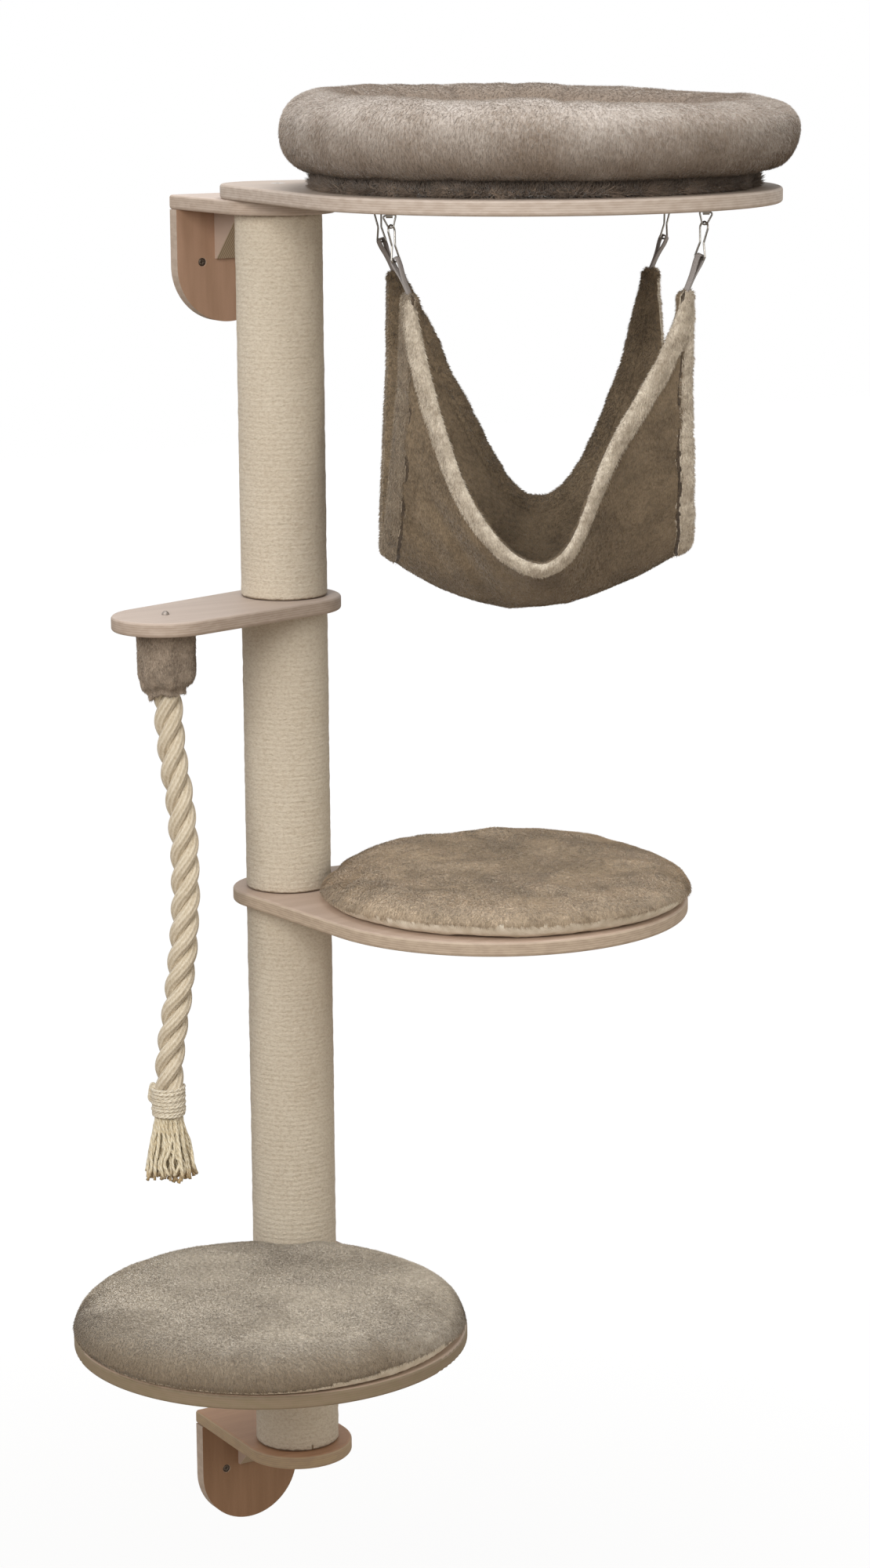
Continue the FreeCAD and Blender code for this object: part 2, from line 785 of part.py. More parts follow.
def flat_head_bolt(name, grip):
    """A flat-head bolt with a socket, its head's face at its own origin, pointing up."""
    shank = cylinder("Sizes.stud_radius", grip + " + Sizes.stud_grip", name + "_shank")
    radius, depth = "Sizes.bolt_head_radius", "Sizes.bolt_head_depth"
    head = cone(radius, "Sizes.stud_radius", depth, name + "_head")
    solid = fuse(shank, head, name + "_solid")
    socket = doc.addObject("Part::Prism", name + "_socket")
    socket.Polygon = 6
    bind(socket, Circumradius="Sizes.bolt_socket_radius", Height=depth)
    bolt = doc.addObject("Part::Cut", name)
    bolt.Base, bolt.Tool = solid, socket
    return bolt


def end_bolts():
    """The bolts that close the post at the lower bracket and through the top shelf."""
    low = flat_head_bolt("low_end_bolt", "Sizes.board")
    put(low, y="-Sizes.wall_gap", z=storeys()["low_board"])
    high = flat_head_bolt("high_end_bolt", "2 * Sizes.board")
    put(high, y="-Sizes.wall_gap", z=storeys()["above"])
    lay_forward(high)
    high.setExpression(".Placement.Rotation.Angle", "180")
    group([low, high], "end_bolts")


def post():
    """All four sections of the post and what joins them."""
    lengths = dict(STOREYS)
    for index, storey in enumerate(SECTIONS, start=1):
        length = "Sizes." + lengths[storey]
        post_tube(index, storey, length)
        sisal_cover(index, storey, length)
    end_discs_and_inserts()
    joining_studs()
    end_bolts()


# ---------------------------------------------------------------- cushions and bed


def cushion(label, storey, radius, high, turn):
    """Round shelf cushion with a crown, drawn in at its rim and dented by the post."""
    body = new_body(label)
    sketch = new_sketch(body, "XZ_Plane", label + "_section")
    corners = (
        ("0", "0", None),
        (radius + " - 6", "0", high + " * 0.14"),
        (radius, high + " * 0.36", high + " * 0.24"),
        (radius + " - 22", high + " * 0.82", high + " * 0.8"),
        (radius + " * 0.45", high, "700"),
        ("0", high, None),
    )
    add_outline(sketch, corners)
    revolve(body, sketch)
    dent = new_sketch(body, "XY_Plane", label + "_dent")
    gap = "Sizes.sisal_radius + Sizes.cushion_post_gap"
    add_circle(dent, gap, x="-Sizes.cushion_reach")
    pocket(body, dent, high, backwards=True)
    reach = "Sizes.cushion_reach"
    put(
        body,
        x="%s * cos(%s)" % (reach, turn),
        y="-Sizes.wall_gap + %s * sin(%s)" % (reach, turn),
        z=storeys()[storey] + " + Sizes.board",
        turn=turn,
    )


def turned_pad(label, corners, lift):
    """A round soft piece centred on the top shelf's big end."""
    body = new_body(label)
    sketch = new_sketch(body, "XZ_Plane", label + "_section")
    add_outline(sketch, corners)
    revolve(body, sketch)
    put(
        body,
        x="Sizes.top_reach * cos(Sizes.top_turn)",
        y="-Sizes.wall_gap + Sizes.top_reach * sin(Sizes.top_turn)",
        z=storeys()["above"] + lift,
        turn="Sizes.top_turn",
    )


def bed():
    """Round bed: a base pad, the stuffed bolster round it and a loose cushion."""
    rim, high = "Sizes.bed_base_radius", "Sizes.bed_base_high"
    base = (("0", "0", None), (rim, "0", "5"), (rim, high, "7"), ("0", high, None))
    turned_pad("bed_base", base, "")
    outer, inner = "Sizes.bed_radius", "Sizes.bed_hollow_radius"
    top = "Sizes.bed_high - Sizes.bed_base_high"
    bolster = (
        (inner, "0", "45"),
        (outer, "0", "45"),
        (outer, top, "54"),
        (inner, top, "54"),
    )
    turned_pad("bed_bolster", bolster, " + Sizes.bed_base_high")
    radius, high = "Sizes.bed_cushion_radius", "Sizes.bed_cushion_high"
    loose = (
        ("0", "0", None),
        (radius, "0", "10"),
        (radius, high + " * 0.7", "14"),
        (radius + " * 0.5", high, "400"),
        ("0", high, None),
    )
    turned_pad("bed_cushion", loose, " + Sizes.bed_base_high")


# ---------------------------------------------------------------- rope toy


def hang_from_rope_board(item, drop="0"):
    """Place a sub-part on the axis of the rope anchor, below the rope board."""
    put(
        item,
        x="Sizes.rope_reach * cos(Sizes.rope_turn)",
        y="-Sizes.wall_gap + Sizes.rope_reach * sin(Sizes.rope_turn)",
        z=storeys()["rope_board"] + " - (" + drop + ")",
    )


def rope_anchor():
    """Wooden block under the rope board and the domed screw that holds it."""
    body = new_body("rope_anchor_block")
    sketch = new_sketch(body, "XZ_Plane", "anchor_section")
    radius, low = "Sizes.anchor_radius", "-Sizes.anchor_high"
    corners = (("0", "0", None), (radius, "0", None), (radius, low, "4"), ("0", low, None))
    add_outline(sketch, corners)
    revolve(body, sketch)
    hole = new_sketch(body, "XY_Plane", "anchor_pilot_hole")
    add_circle(hole, "Sizes.anchor_screw_radius + Sizes.play")
    pocket(body, hole, "Sizes.anchor_screw_length - Sizes.board + Sizes.play")
    hang_from_rope_board(body)
    radius = "Sizes.anchor_screw_radius"
    shank = cylinder(radius, "Sizes.anchor_screw_length", "anchor_screw_shank")
    shank.setExpression(".Placement.Base.z", "-Sizes.anchor_screw_length")
    dome = doc.addObject("Part::Sphere", "anchor_screw_dome")
    bind(dome, Radius="2 * " + radius)
    dome.Angle1 = 0
    screw = fuse(shank, dome, "rope_anchor_screw")
    hang_from_rope_board(screw, "-Sizes.board")
    keep(screw, "rope_anchor_screw")


def rope_cuff():
    """Fur sleeve over the block, gathered on to the rope."""
    body = new_body("rope_cuff")
    sketch = new_sketch(body, "XZ_Plane", "cuff_section")
    inner = "Sizes.anchor_radius + 0.3"
    outer = inner + " + Sizes.cuff_wall"
    neck = "Sizes.rope_radius + 0.5"
    shoulder = "-Sizes.anchor_high - 4"
    end = "-Sizes.cuff_high"
    corners = (
        (inner, "0", None),
        (outer, "0", None),
        (outer + " + 0.5", shoulder + " - 4", "7"),
        (neck + " + Sizes.cuff_wall", end + " + 12", "10"),
        (neck + " + Sizes.cuff_wall + 1", end, None),
        (neck, end, None),
        (neck, end + " + 12", "6"),
        (inner, shoulder, "4"),
    )
    add_outline(sketch, corners)
    revolve(body, sketch)
    hang_from_rope_board(body)


def rope_points():
    """The rope's route in the frame: places on its middle line, down from the anchor."""
    reach, turn = size("rope_reach"), math.radians(size("rope_turn"))
    start = post_axis() + Vector(reach * math.cos(turn), reach * math.sin(turn), 0)
    start.z = height("rope_board") - size("anchor_high")
    side = math.radians(ROPE_PLANE_TURN)
    across = Vector(math.cos(side), math.sin(side), 0)
    return [start + across * right - UP * down for right, down in ROPE_ROUTE]


def rope_path(points):
    """Straight runs joined by tangent arcs through the route's points."""
    edges = []
    reached = points[0]
    for before, corner, after in zip(points, points[1:], points[2:]):
        turn = (corner - before).getAngle(after - corner)
        shorter = min((corner - before).Length, (after - corner).Length)
        radius = 0.45 * shorter / math.tan(turn / 2)
        arc_in, arc_middle, arc_out = bend_points(before, corner, after, radius)
        print("rope bend radius %.0f mm" % radius)
        edges.append(Part.LineSegment(reached, arc_in).toShape())
        edges.append(Part.Arc(arc_in, arc_middle, arc_out).toShape())
        reached = arc_out
    edges.append(Part.LineSegment(reached, points[-1]).toShape())
    return Part.Wire(edges)


def rope():
    """The hanging rope: a tube along its route, with a domed top that turns under the block."""
    points = rope_points()
    path = rope_path(points)
    circle = Part.Circle(points[0], points[1] - points[0], size("rope_radius"))
    tube = path.makePipeShell([Part.Wire([circle.toShape()])], True, False)
    section = math.pi * size("rope_radius") ** 2
    print("rope length %.1f mm, volume over section times length %.4f"
          % (path.Length, tube.Volume / (section * path.Length)))
    dome = Part.makeSphere(size("rope_radius"), points[0], UP, 0, 90, 360)
    item = doc.addObject("Part::Feature", "rope")
    item.Shape = tube.fuse(dome).removeSplitter()
    keep(item, "rope")


def rope_end():
    """Whipping round the rope's end and the tassel of its loose strands."""
    end = rope_points()[-1]
    body = new_body("rope_whipping")
    sketch = new_sketch(body, "XY_Plane", "whipping_ring")
    bore = "Sizes.rope_radius + 2 * Sizes.play"
    add_circle(sketch, bore)
    add_circle(sketch, bore + " + Sizes.whipping_wall")
    pad(body, sketch, "Sizes.whipping_high")
    body.Placement.Base = end
    body = new_body("rope_tassel")
    sketch = new_sketch(body, "XZ_Plane", "tassel_section")
    neck, high, flare = "Sizes.rope_radius", "-Sizes.tassel_high", "Sizes.tassel_radius"
    corners = (
        ("0", "0", None),
        (neck, "0", None),
        (neck + " + 5", high + " * 0.35", "60"),
        (flare, high + " * 0.94", "6"),
        (flare + " * 0.6", high, "20"),
        ("0", high, None),
    )
    add_outline(sketch, corners)
    revolve(body, sketch)
    body.Placement.Base = end


# ---------------------------------------------------------------- hammock hangers


def under_top_shelf():
    """Hammock frame: under the big end of the top shelf, X to the right, Y to the rear."""
    reach, turn = size("top_reach"), math.radians(size("top_turn"))
    spot = post_axis() + Vector(reach * math.cos(turn), reach * math.sin(turn), 0)
    spot.z = height("top_shelf")
    return FreeCAD.Placement(spot, FreeCAD.Rotation(UP, size("hammock_turn")))


def shift(x, y, z):
    """A placement that only moves."""
    return FreeCAD.Placement(Vector(x, y, z), FreeCAD.Rotation())


def turned(axis, angle):
    """A placement that only turns."""
    return FreeCAD.Placement(Vector(), FreeCAD.Rotation(axis, angle))


def ring_apex():
    """Distance from a ring's top bar down to the middle of the wire in its bent apex."""
    half_angle = math.atan(size("ring_half") / size("ring_high"))
    return size("ring_high") - size("ring_apex_bend") * (1 / math.sin(half_angle) - 1)


def hook_start():
    """Distance from the ring's top bar down to the top of the hook's wire line."""
    return ring_apex() - size("ring_wire") - size("hook_wire") - size("link_clear")


def link_length():
    """Distance between the pivots of one hanger."""
    return hook_start() + size("hook_high")


def hanger_pivot(side, rear):
    """Frame on a ring's top bar, before the hanger leans."""
    x, y = side * size("hanger_side"), rear * size("hanger_depth")
    return under_top_shelf().multiply(shift(x, y, -size("knuckle_radius")))


def hanger_lean(side, rear):
    """Frame on a ring's top bar, leaning inwards with the hanger."""
    return hanger_pivot(side, rear).multiply(turned(Vector(0, 1, 0), side * size("link_lean")))


def hanger_plate(name, side, rear):
    """Screw plate under the shelf with a knuckle for the ring's top bar."""
    body = new_body(name + "_hanger_plate")
    knuckle = new_sketch(body, "YZ_Plane", name + "_knuckle")
    add_circle(knuckle, "Sizes.knuckle_radius")
    pad(body, knuckle, "Sizes.knuckle_length", middle=True)
    leaf = new_sketch(body, "YZ_Plane", name + "_leaf")
    low, high = "Sizes.knuckle_radius - Sizes.leaf_thick", "Sizes.knuckle_radius"
    corners = (
        ("0", low, None),
        ("Sizes.leaf_length", low, None),
        ("Sizes.leaf_length", high, None),
        ("0", high, None),
    )
    add_outline(leaf, corners)
    pad(body, leaf, "Sizes.leaf_width", middle=True)
    bore = new_sketch(body, "YZ_Plane", name + "_knuckle_bore")
    add_circle(bore, "Sizes.knuckle_bore")
    cut = pocket(body, bore, "2 * Sizes.leaf_width")
    cut.Midplane = True
    hole = new_sketch(body, "XY_Plane", name + "_screw_hole")
    add_circle(hole, "Sizes.leaf_screw_radius + Sizes.play", y="Sizes.leaf_screw_at")
    pocket(body, hole, "2 * Sizes.knuckle_radius", backwards=True)
    facing = 180 if rear > 0 else 0
    body.Placement = hanger_pivot(side, rear).multiply(turned(UP, facing))


def hanger_screws():
    """One pan-head screw in each hanger plate."""
    screws = []
    for name, side, rear in CORNERS:
        radius, head_radius = "Sizes.leaf_screw_radius", "Sizes.leaf_screw_head"
        shank = cylinder(radius, "Sizes.leaf_screw_length", name + "_screw_shank")
        head = cone("0.7 * " + head_radius, head_radius, "2", name + "_screw_head")
        head.setExpression(".Placement.Base.z", "-2")
        screw = fuse(shank, head, name + "_hanger_screw")
        at = hanger_pivot(side, rear)
        lift = size("knuckle_radius") - size("leaf_thick")
        screw.Placement = at.multiply(shift(0, -rear * size("leaf_screw_at"), lift))
        screws.append(screw)
    group(screws, "hanger_screws")


def bent_wire(label, corners, wire, start, at):
    """A closed link of round wire, bent through the corners of its outline."""
    body = new_body(label)
    path = new_sketch(body, "XZ_Plane", label + "_line")
    add_outline(path, corners)
    section = new_sketch(body, "YZ_Plane", label + "_wire")
    add_circle(section, wire, y=start)
    doc.recompute()
    feature = body.newObject("PartDesign::AdditivePipe", label + "_bent")
    feature.Profile = section
    feature.Spine = path
    feature.Mode = "Standard"
    doc.recompute()
    body.Placement = at


def triangle_ring(name, side, rear):
    """Wire triangle that hangs by its top bar in the plate's knuckle."""
    half, bend = "Sizes.ring_half", "Sizes.ring_bend"
    corners = (
        ("0", "0", None),
        (half, "0", bend),
        ("0", "-Sizes.ring_high", "Sizes.ring_apex_bend"),
        ("-" + half, "0", bend),
    )
    bent_wire(name + "_ring", corners, "Sizes.ring_wire", "0", hanger_lean(side, rear))


def snap_hook(name, side, rear):
    """Wire snap hook: a wide round top in the ring, a waist, and shoulders for the webbing."""
    half, waist, shoulder = "Sizes.hook_half", "Sizes.hook_waist", "Sizes.hook_shoulder"
    waist_low, low, bend = "-Sizes.hook_waist_at", "-Sizes.hook_high", "Sizes.hook_bend"
    corners = (
        ("0", "0", None),
        (half, "0", half + " - 0.8"),
        (waist, waist_low, "6"),
        (shoulder, low, bend),
        ("-" + shoulder, low, bend),
        ("-" + waist, waist_low, "6"),
        ("-" + half, "0", half + " - 0.8"),
    )
    at = hanger_lean(side, rear).multiply(shift(0, 0, -hook_start()))
    at = at.multiply(turned(UP, side * rear * size("hook_turn")))
    bent_wire(name + "_hook", corners, "Sizes.hook_wire", "0", at)


def hook_foot(side, rear):
    """The lower pivot of a hanger, on the hook's bottom bar."""
    return hanger_lean(side, rear).multVec(Vector(0, 0, -link_length()))


def corner_top(side, rear):
    """Where the webbing enters a corner of the hammock."""
    x, y = side * size("corner_side"), rear * size("hanger_depth")
    return under_top_shelf().multVec(Vector(x, y, -size("corner_drop")))


def webbing_loop(name, side, rear):
    """Webbing from the hook's bottom bar down into a corner of the hammock."""
    body = new_body(name + "_webbing")
    sketch = new_sketch(body, "YZ_Plane", name + "_webbing_side")
    eye, thick = "Sizes.webbing_eye", "Sizes.webbing_thick"
    top = "%s + %s" % (eye, thick)
    sewn, end = "-Sizes.webbing_long", "-Sizes.webbing_long - Sizes.webbing_sewn"
    outside = (
        ("-(%s)" % top, top, top + " - 0.6"),
        ("-" + thick, sewn, "8"),
        ("-" + thick, end, None),
        (thick, end, None),
        (thick, sewn, "8"),
        (top, top, top + " - 0.6"),
    )
    add_outline(sketch, outside)
    inside = (
        ("-" + eye, eye, eye + " - 0.5"),
        ("0", sewn + " + 2", None),
        (eye, eye, eye + " - 0.5"),
    )
    add_outline(sketch, inside)
    pad(body, sketch, "Sizes.webbing_width", middle=True)
    body.Placement = webbing_frame(side, rear)


def webbing_frame(side, rear):
    """Frame at the hook's foot: Z along the webbing, X across its width."""
    foot = hook_foot(side, rear)
    up = foot - corner_top(side, rear)
    lean = hanger_lean(side, rear).multiply(turned(UP, side * rear * size("hook_turn")))
    width = lean.Rotation.multVec(Vector(1, 0, 0))
    turn = FreeCAD.Rotation(width, Vector(), up, "ZXY")
    return FreeCAD.Placement(foot, turn)


def hangers():
    """The four hangers of the hammock."""
    for name, side, rear in CORNERS:
        hanger_plate(name, side, rear)
        triangle_ring(name, side, rear)
        snap_hook(name, side, rear)
        webbing_loop(name, side, rear)
    hanger_screws()


# ---------------------------------------------------------------- hammock


def hanging_bend(half_width, fall, slope):
    """Radius of the round bottom of a U whose straight arms fall at a slope to a depth."""
    cosine, sine = math.cos(slope), math.sin(slope)
    return (half_width * cosine - fall * sine) / (1 - sine)


def hanging_line(half_width, top, low, slope):
    """A U as a function of the place across it: straight arms into one round bottom."""
    radius = hanging_bend(half_width, top - low, slope)
    join = radius * math.cos(slope)

    def level(place):
        place = abs(place)
        if place >= join:
            return top - (half_width - place) / math.tan(slope)
        return low + radius - math.sqrt(radius**2 - place**2)

    return level


def hem_edges():
    """Half width, half depth and top of the front and side hems at the corners."""
    side_apart, depth_apart = size("hem_apart_side"), size("hem_apart_depth")
    side, depth = size("corner_side"), size("hanger_depth")
    return (side - side_apart, depth + depth_apart), (side + side_apart, depth - depth_apart)


def u_wire(half_width, top, low, slope, place):
    """A U of two straight arms and a round bottom; place turns (across, up) into a point."""
    radius = hanging_bend(half_width, top - low, slope)
    join_x, join_z = radius * math.cos(slope), low + radius - radius * math.sin(slope)
    left = place(-half_width, top), place(-join_x, join_z)
    right = place(join_x, join_z), place(half_width, top)
    bottom = place(0, low)
    arm_l = Part.LineSegment(*left).toShape()
    arm_r = Part.LineSegment(*right).toShape()
    return Part.Wire([arm_l, Part.Arc(left[1], bottom, right[0]).toShape(), arm_r])


def hem_tube(half_width, place):
    """A stuffed hem along one edge, hanging from its two corners."""
    top, low = -size("corner_drop"), -size("edge_low")
    slope = math.radians(size("arm_slope"))
    path = u_wire(half_width, top, low, slope, place)
    first = path.Edges[0]
    start = first.valueAt(first.FirstParameter)
    direction = first.tangentAt(first.FirstParameter)
    circle = Part.Wire([Part.Circle(start, direction, size("hem_radius")).toShape()])
    return path.makePipeShell([circle], True, False)


def side_lean(up):
    """How far the side edges stand out at a height between the corners and the belly."""
    fall = (-size("corner_drop") - up) / (size("edge_low") - size("corner_drop"))
    return (size("belly_side") - size("corner_side")) * fall


def hammock_hem():
    """Padded hems along the four edges of the hammock."""
    (front_side, front_depth), (side_side, side_depth) = hem_edges()
    tubes = []
    for rear in (-1, 1):
        tubes.append(hem_tube(front_side, lambda x, up: Vector(x, rear * front_depth, up)))
    for side in (-1, 1):

        def lean_out(y, up, side=side):
            return Vector(side * (side_side + side_lean(up)), y, up)

        tubes.append(hem_tube(side_depth, lean_out))
    item = doc.addObject("Part::Feature", "hammock_hem")
    item.Shape = Part.makeCompound(tubes)
    item.Placement = under_top_shelf()
    keep(item, "hammock_hem")


def mirrored(spot):
    """The same place on the hammock's other side."""
    return Vector(-spot.x, spot.y, spot.z)


def straight(start, end):
    """A straight edge."""
    return Part.LineSegment(start, end).toShape()


def cloth_section(depth, half_width, top, low, slope):
    """Closed section of the hammock cloth across its width, at one depth."""
    thick = size("cloth_thick") / 2
    radius = hanging_bend(half_width, top - low, slope)
    centre = low + radius
    outward = Vector(math.cos(slope), 0, -math.sin(slope))
    rims = []
    for offset in (thick, -thick):
        arm_top = Vector(half_width, depth, top) + outward * offset
        join = Vector(0, depth, centre) + outward * (radius + offset)
        bottom = Vector(0, depth, centre - radius - offset)
        rims.append((arm_top, join, bottom))
    (arm_o, join_o, low_o), (arm_i, join_i, low_i) = rims
    edges = [
        straight(arm_o, join_o),
        Part.Arc(join_o, low_o, mirrored(join_o)).toShape(),
        straight(mirrored(join_o), mirrored(arm_o)),
        straight(mirrored(arm_o), mirrored(arm_i)),
        straight(mirrored(arm_i), mirrored(join_i)),
        Part.Arc(mirrored(join_i), low_i, join_i).toShape(),
        straight(join_i, arm_i),
        straight(arm_i, arm_o),
    ]
    return Part.Wire(edges)


def hammock_cloth():
    """The fur cloth: a deep pouch between four corners, ruled between sections."""
    (front_side, front_depth), (side_side, side_depth) = hem_edges()
    reach = front_depth - size("hem_radius") - 0.4
    drop, edge_low, belly_low = size("corner_drop"), size("edge_low"), size("belly_low")
    arm, belly = math.radians(size("arm_slope")), math.radians(size("belly_slope"))
    side_edge = hanging_line(side_depth, -drop, -edge_low, arm)
    side_bend = hanging_bend(side_depth, edge_low - drop, arm)
    sections = []
    shares = (0.1, 0.26, 0.42, 0.6, 0.8, 1.0)
    for share in [-share for share in reversed(shares)] + list(shares):
        depth = share * reach
        blend = 1 - share * share
        low = -edge_low - (belly_low - edge_low) * blend
        slope = arm + (belly - arm) * blend
        half_width, top, back = front_side, -drop, size("corner_tip")
        if blend > 0:
            top = side_edge(abs(depth))
            half_width = side_side + side_lean(top)
            steep = min(abs(depth) / side_bend, math.cos(arm)) * math.cos(slope)
            back = (size("hem_radius") + size("hem_gap")) / math.sqrt(1 - steep**2)
        half_width -= back * math.sin(slope)
        top -= back * math.cos(slope)
        sections.append(cloth_section(depth, half_width, top, low, slope))
    item = doc.addObject("Part::Feature", "hammock_cloth")
    item.Shape = Part.makeLoft(sections, True, True)
    item.Placement = under_top_shelf()
    keep(item, "hammock_cloth")


# ---------------------------------------------------------------- assembly and export


def shelves():
    """The four boards that the post carries."""
    reach, far = "Sizes.shelf_reach", "Sizes.shelf_radius"
    shelf("low_shelf", "low_shelf", reach, far, "Sizes.low_turn")
    shelf("mid_shelf", "mid_shelf", reach, far, "Sizes.mid_turn")
    screw_hole = "Sizes.anchor_screw_radius + Sizes.play"
    shelf("rope_board", "rope_board", "Sizes.rope_reach", "Sizes.rope_end_radius",
          "Sizes.rope_turn", screw_hole)
    top = shelf("top_shelf", "top_shelf", "Sizes.top_reach", "Sizes.top_radius",
                "Sizes.top_turn")
    sink_for_bolt(top, "Sizes.board", True)
    hanger_pilot_holes(top)


def check():
    """Stop on any failed object or sub-part."""
    for item in doc.Objects:
        if "Invalid" in item.State or "Error" in item.State:
            raise RuntimeError("%s failed: %s" % (item.Label, item.State))
    for item in parts:
        if item.Shape.isNull() or not item.Shape.isValid():
            raise RuntimeError("%s has no valid shape" % item.Label)


def export():
    """Write each sub-part to its own file."""
    os.makedirs("parts", exist_ok=True)
    for item in parts:
        item.Shape.exportStep("parts/%s.step" % item.Label)
    print("%d sub-parts" % len(parts))


fill_sheet()
bracket("lower", "low_board")
bracket("upper", "high_board")
sink_for_bolt(doc.getObject("lower_bracket_board"), "0", False)
post()
shelves()
cushion("low_cushion", "low_shelf", "Sizes.low_cushion_radius", "Sizes.low_cushion_high",
        "Sizes.low_turn")
cushion("mid_cushion", "mid_shelf", "Sizes.mid_cushion_radius", "Sizes.mid_cushion_high",
        "Sizes.mid_turn")
bed()
rope_anchor()
rope_cuff()
rope()
rope_end()
hangers()
hammock_hem()
hammock_cloth()
doc.recompute()
check()
export()
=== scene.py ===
"""Looks of a wall mounted cat tree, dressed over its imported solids.

Everything is in metres in the frame of the solids: +Z up, the wall is the plane y = 0, and the
tree stands off it towards -Y.
"""

import logging
import math
import random
from dataclasses import dataclass
from enum import Enum
from functools import partial
from typing import Callable, Iterable, Sequence

import bmesh
import bpy
from mathutils import Matrix, Vector, noise


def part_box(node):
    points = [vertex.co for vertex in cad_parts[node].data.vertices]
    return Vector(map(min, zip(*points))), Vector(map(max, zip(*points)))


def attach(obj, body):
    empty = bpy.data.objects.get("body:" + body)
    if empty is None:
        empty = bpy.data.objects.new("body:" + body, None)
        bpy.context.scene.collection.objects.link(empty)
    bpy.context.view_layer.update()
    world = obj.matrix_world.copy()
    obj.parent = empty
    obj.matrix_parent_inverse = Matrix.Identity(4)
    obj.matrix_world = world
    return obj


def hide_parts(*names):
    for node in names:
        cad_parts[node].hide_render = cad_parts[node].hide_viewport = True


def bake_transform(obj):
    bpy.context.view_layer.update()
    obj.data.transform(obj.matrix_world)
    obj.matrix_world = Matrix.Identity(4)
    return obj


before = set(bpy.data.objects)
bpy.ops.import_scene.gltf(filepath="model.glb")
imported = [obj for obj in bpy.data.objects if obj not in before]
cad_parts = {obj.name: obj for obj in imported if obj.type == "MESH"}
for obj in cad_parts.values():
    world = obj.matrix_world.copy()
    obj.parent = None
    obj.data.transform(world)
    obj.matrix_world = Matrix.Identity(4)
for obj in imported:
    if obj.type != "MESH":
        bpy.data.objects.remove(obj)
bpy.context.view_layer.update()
log = logging.getLogger("cat_tree")

Colour = tuple[float, float, float]
Rows = list[list[Vector]]

POST_AXIS = Vector((0.0, -0.162, 0.0))
BOARD = 0.019
MM = 0.001
WHITE: Colour = (1.0, 1.0, 1.0)
TURNS = {"low_shelf": -125.0, "mid_shelf": -45.0, "rope_board": -164.0, "top_shelf": -55.0}
BRACKET_TURN = 90.0
SHELF_REACH = 0.299
BED_REACH = 0.360
ROPE_REACH = 0.214
AIR_FRAMES = 20


class Body(Enum):
    """Bodies that pieces ride on."""

    TREE = "tree"
    HAMMOCK = "hammock"
    ROPE = "rope_toy"


class Slot(Enum):
    """Names of the record's material slots."""

    SISAL = "sisal"
    FUR = "taupe_fur"
    HAMMOCK_FUR = "hammock_fur"
    HEM_FUR = "hem_fur"
    WEBBING = "grey_webbing"
    ROPE = "cotton_rope"
    WHIPPING = "whipping_twine"
    TASSEL = "loose_fibre"
    STEEL = "zinc_steel"


# ------------------------------------------------------------------ shader graph


def add_node(tree: bpy.types.NodeTree, kind: str, settings: dict | None = None,
             values: dict | None = None) -> bpy.types.Node:
    """Adds one node to a tree.

    Args:
        tree: The tree.
        kind: The node's type.
        settings: Its own settings, which are set first.
        values: Its inputs by name or number, each a number, colour, Value or socket.

    Returns:
        The new node.
    """
    node = tree.nodes.new(kind)
    for key, setting in (settings or {}).items():
        setattr(node, key, setting)
    for key, value in (values or {}).items():
        target = node.inputs[key]
        if isinstance(value, Value):
            value = value.socket
        if isinstance(value, bpy.types.NodeSocket):
            tree.links.new(value, target)
        elif isinstance(value, (tuple, list)) and len(value) == 3 and target.type == "RGBA":
            target.default_value = (*value, 1.0)
        else:
            target.default_value = value
    return node


class Value:
    """A number socket of a material, with the operators that add Math nodes."""

    def __init__(self, graph: "Graph", socket: bpy.types.NodeSocket) -> None:
        """Wraps one output socket of a graph."""
        self.graph = graph
        self.socket = socket

    def _math(self, operation: str, first: object, second: object) -> "Value":
        """One Math node.

        Args:
            operation: The node's operation.
            first: Its first value or socket.
            second: Its second value or socket.

        Returns:
            The node's result.
        """
        node = self.graph.add("ShaderNodeMath", {"operation": operation}, {0: first, 1: second})
        return Value(self.graph, node.outputs[0])

    def __add__(self, other: object) -> "Value":
        """Sum."""
        return self._math("ADD", self, other)

    def __sub__(self, other: object) -> "Value":
        """Difference."""
        return self._math("SUBTRACT", self, other)

    def __rsub__(self, other: object) -> "Value":
        """Difference from a number on the left."""
        return self._math("SUBTRACT", other, self)

    def __mul__(self, other: object) -> "Value":
        """Product."""
        return self._math("MULTIPLY", self, other)

    def __truediv__(self, other: object) -> "Value":
        """Quotient."""
        return self._math("DIVIDE", self, other)

    def __pow__(self, other: object) -> "Value":
        """Power."""
        return self._math("POWER", self, other)

    def sine(self) -> "Value":
        """Sine of the value in radians."""
        return self._math("SINE", self, 0.0)

    def absolute(self) -> "Value":
        """Value without its sign."""
        return self._math("ABSOLUTE", self, 0.0)

    def between(self, low: float, high: float) -> "Value":
        """Smooth step from 0 at low to 1 at high."""
        settings = {"interpolation_type": "SMOOTHSTEP", "clamp": True}
        values = {"Value": self, "From Min": low, "From Max": high, "To Min": 0.0, "To Max": 1.0}
        node = self.graph.add("ShaderNodeMapRange", settings, values)
        return Value(self.graph, node.outputs[0])


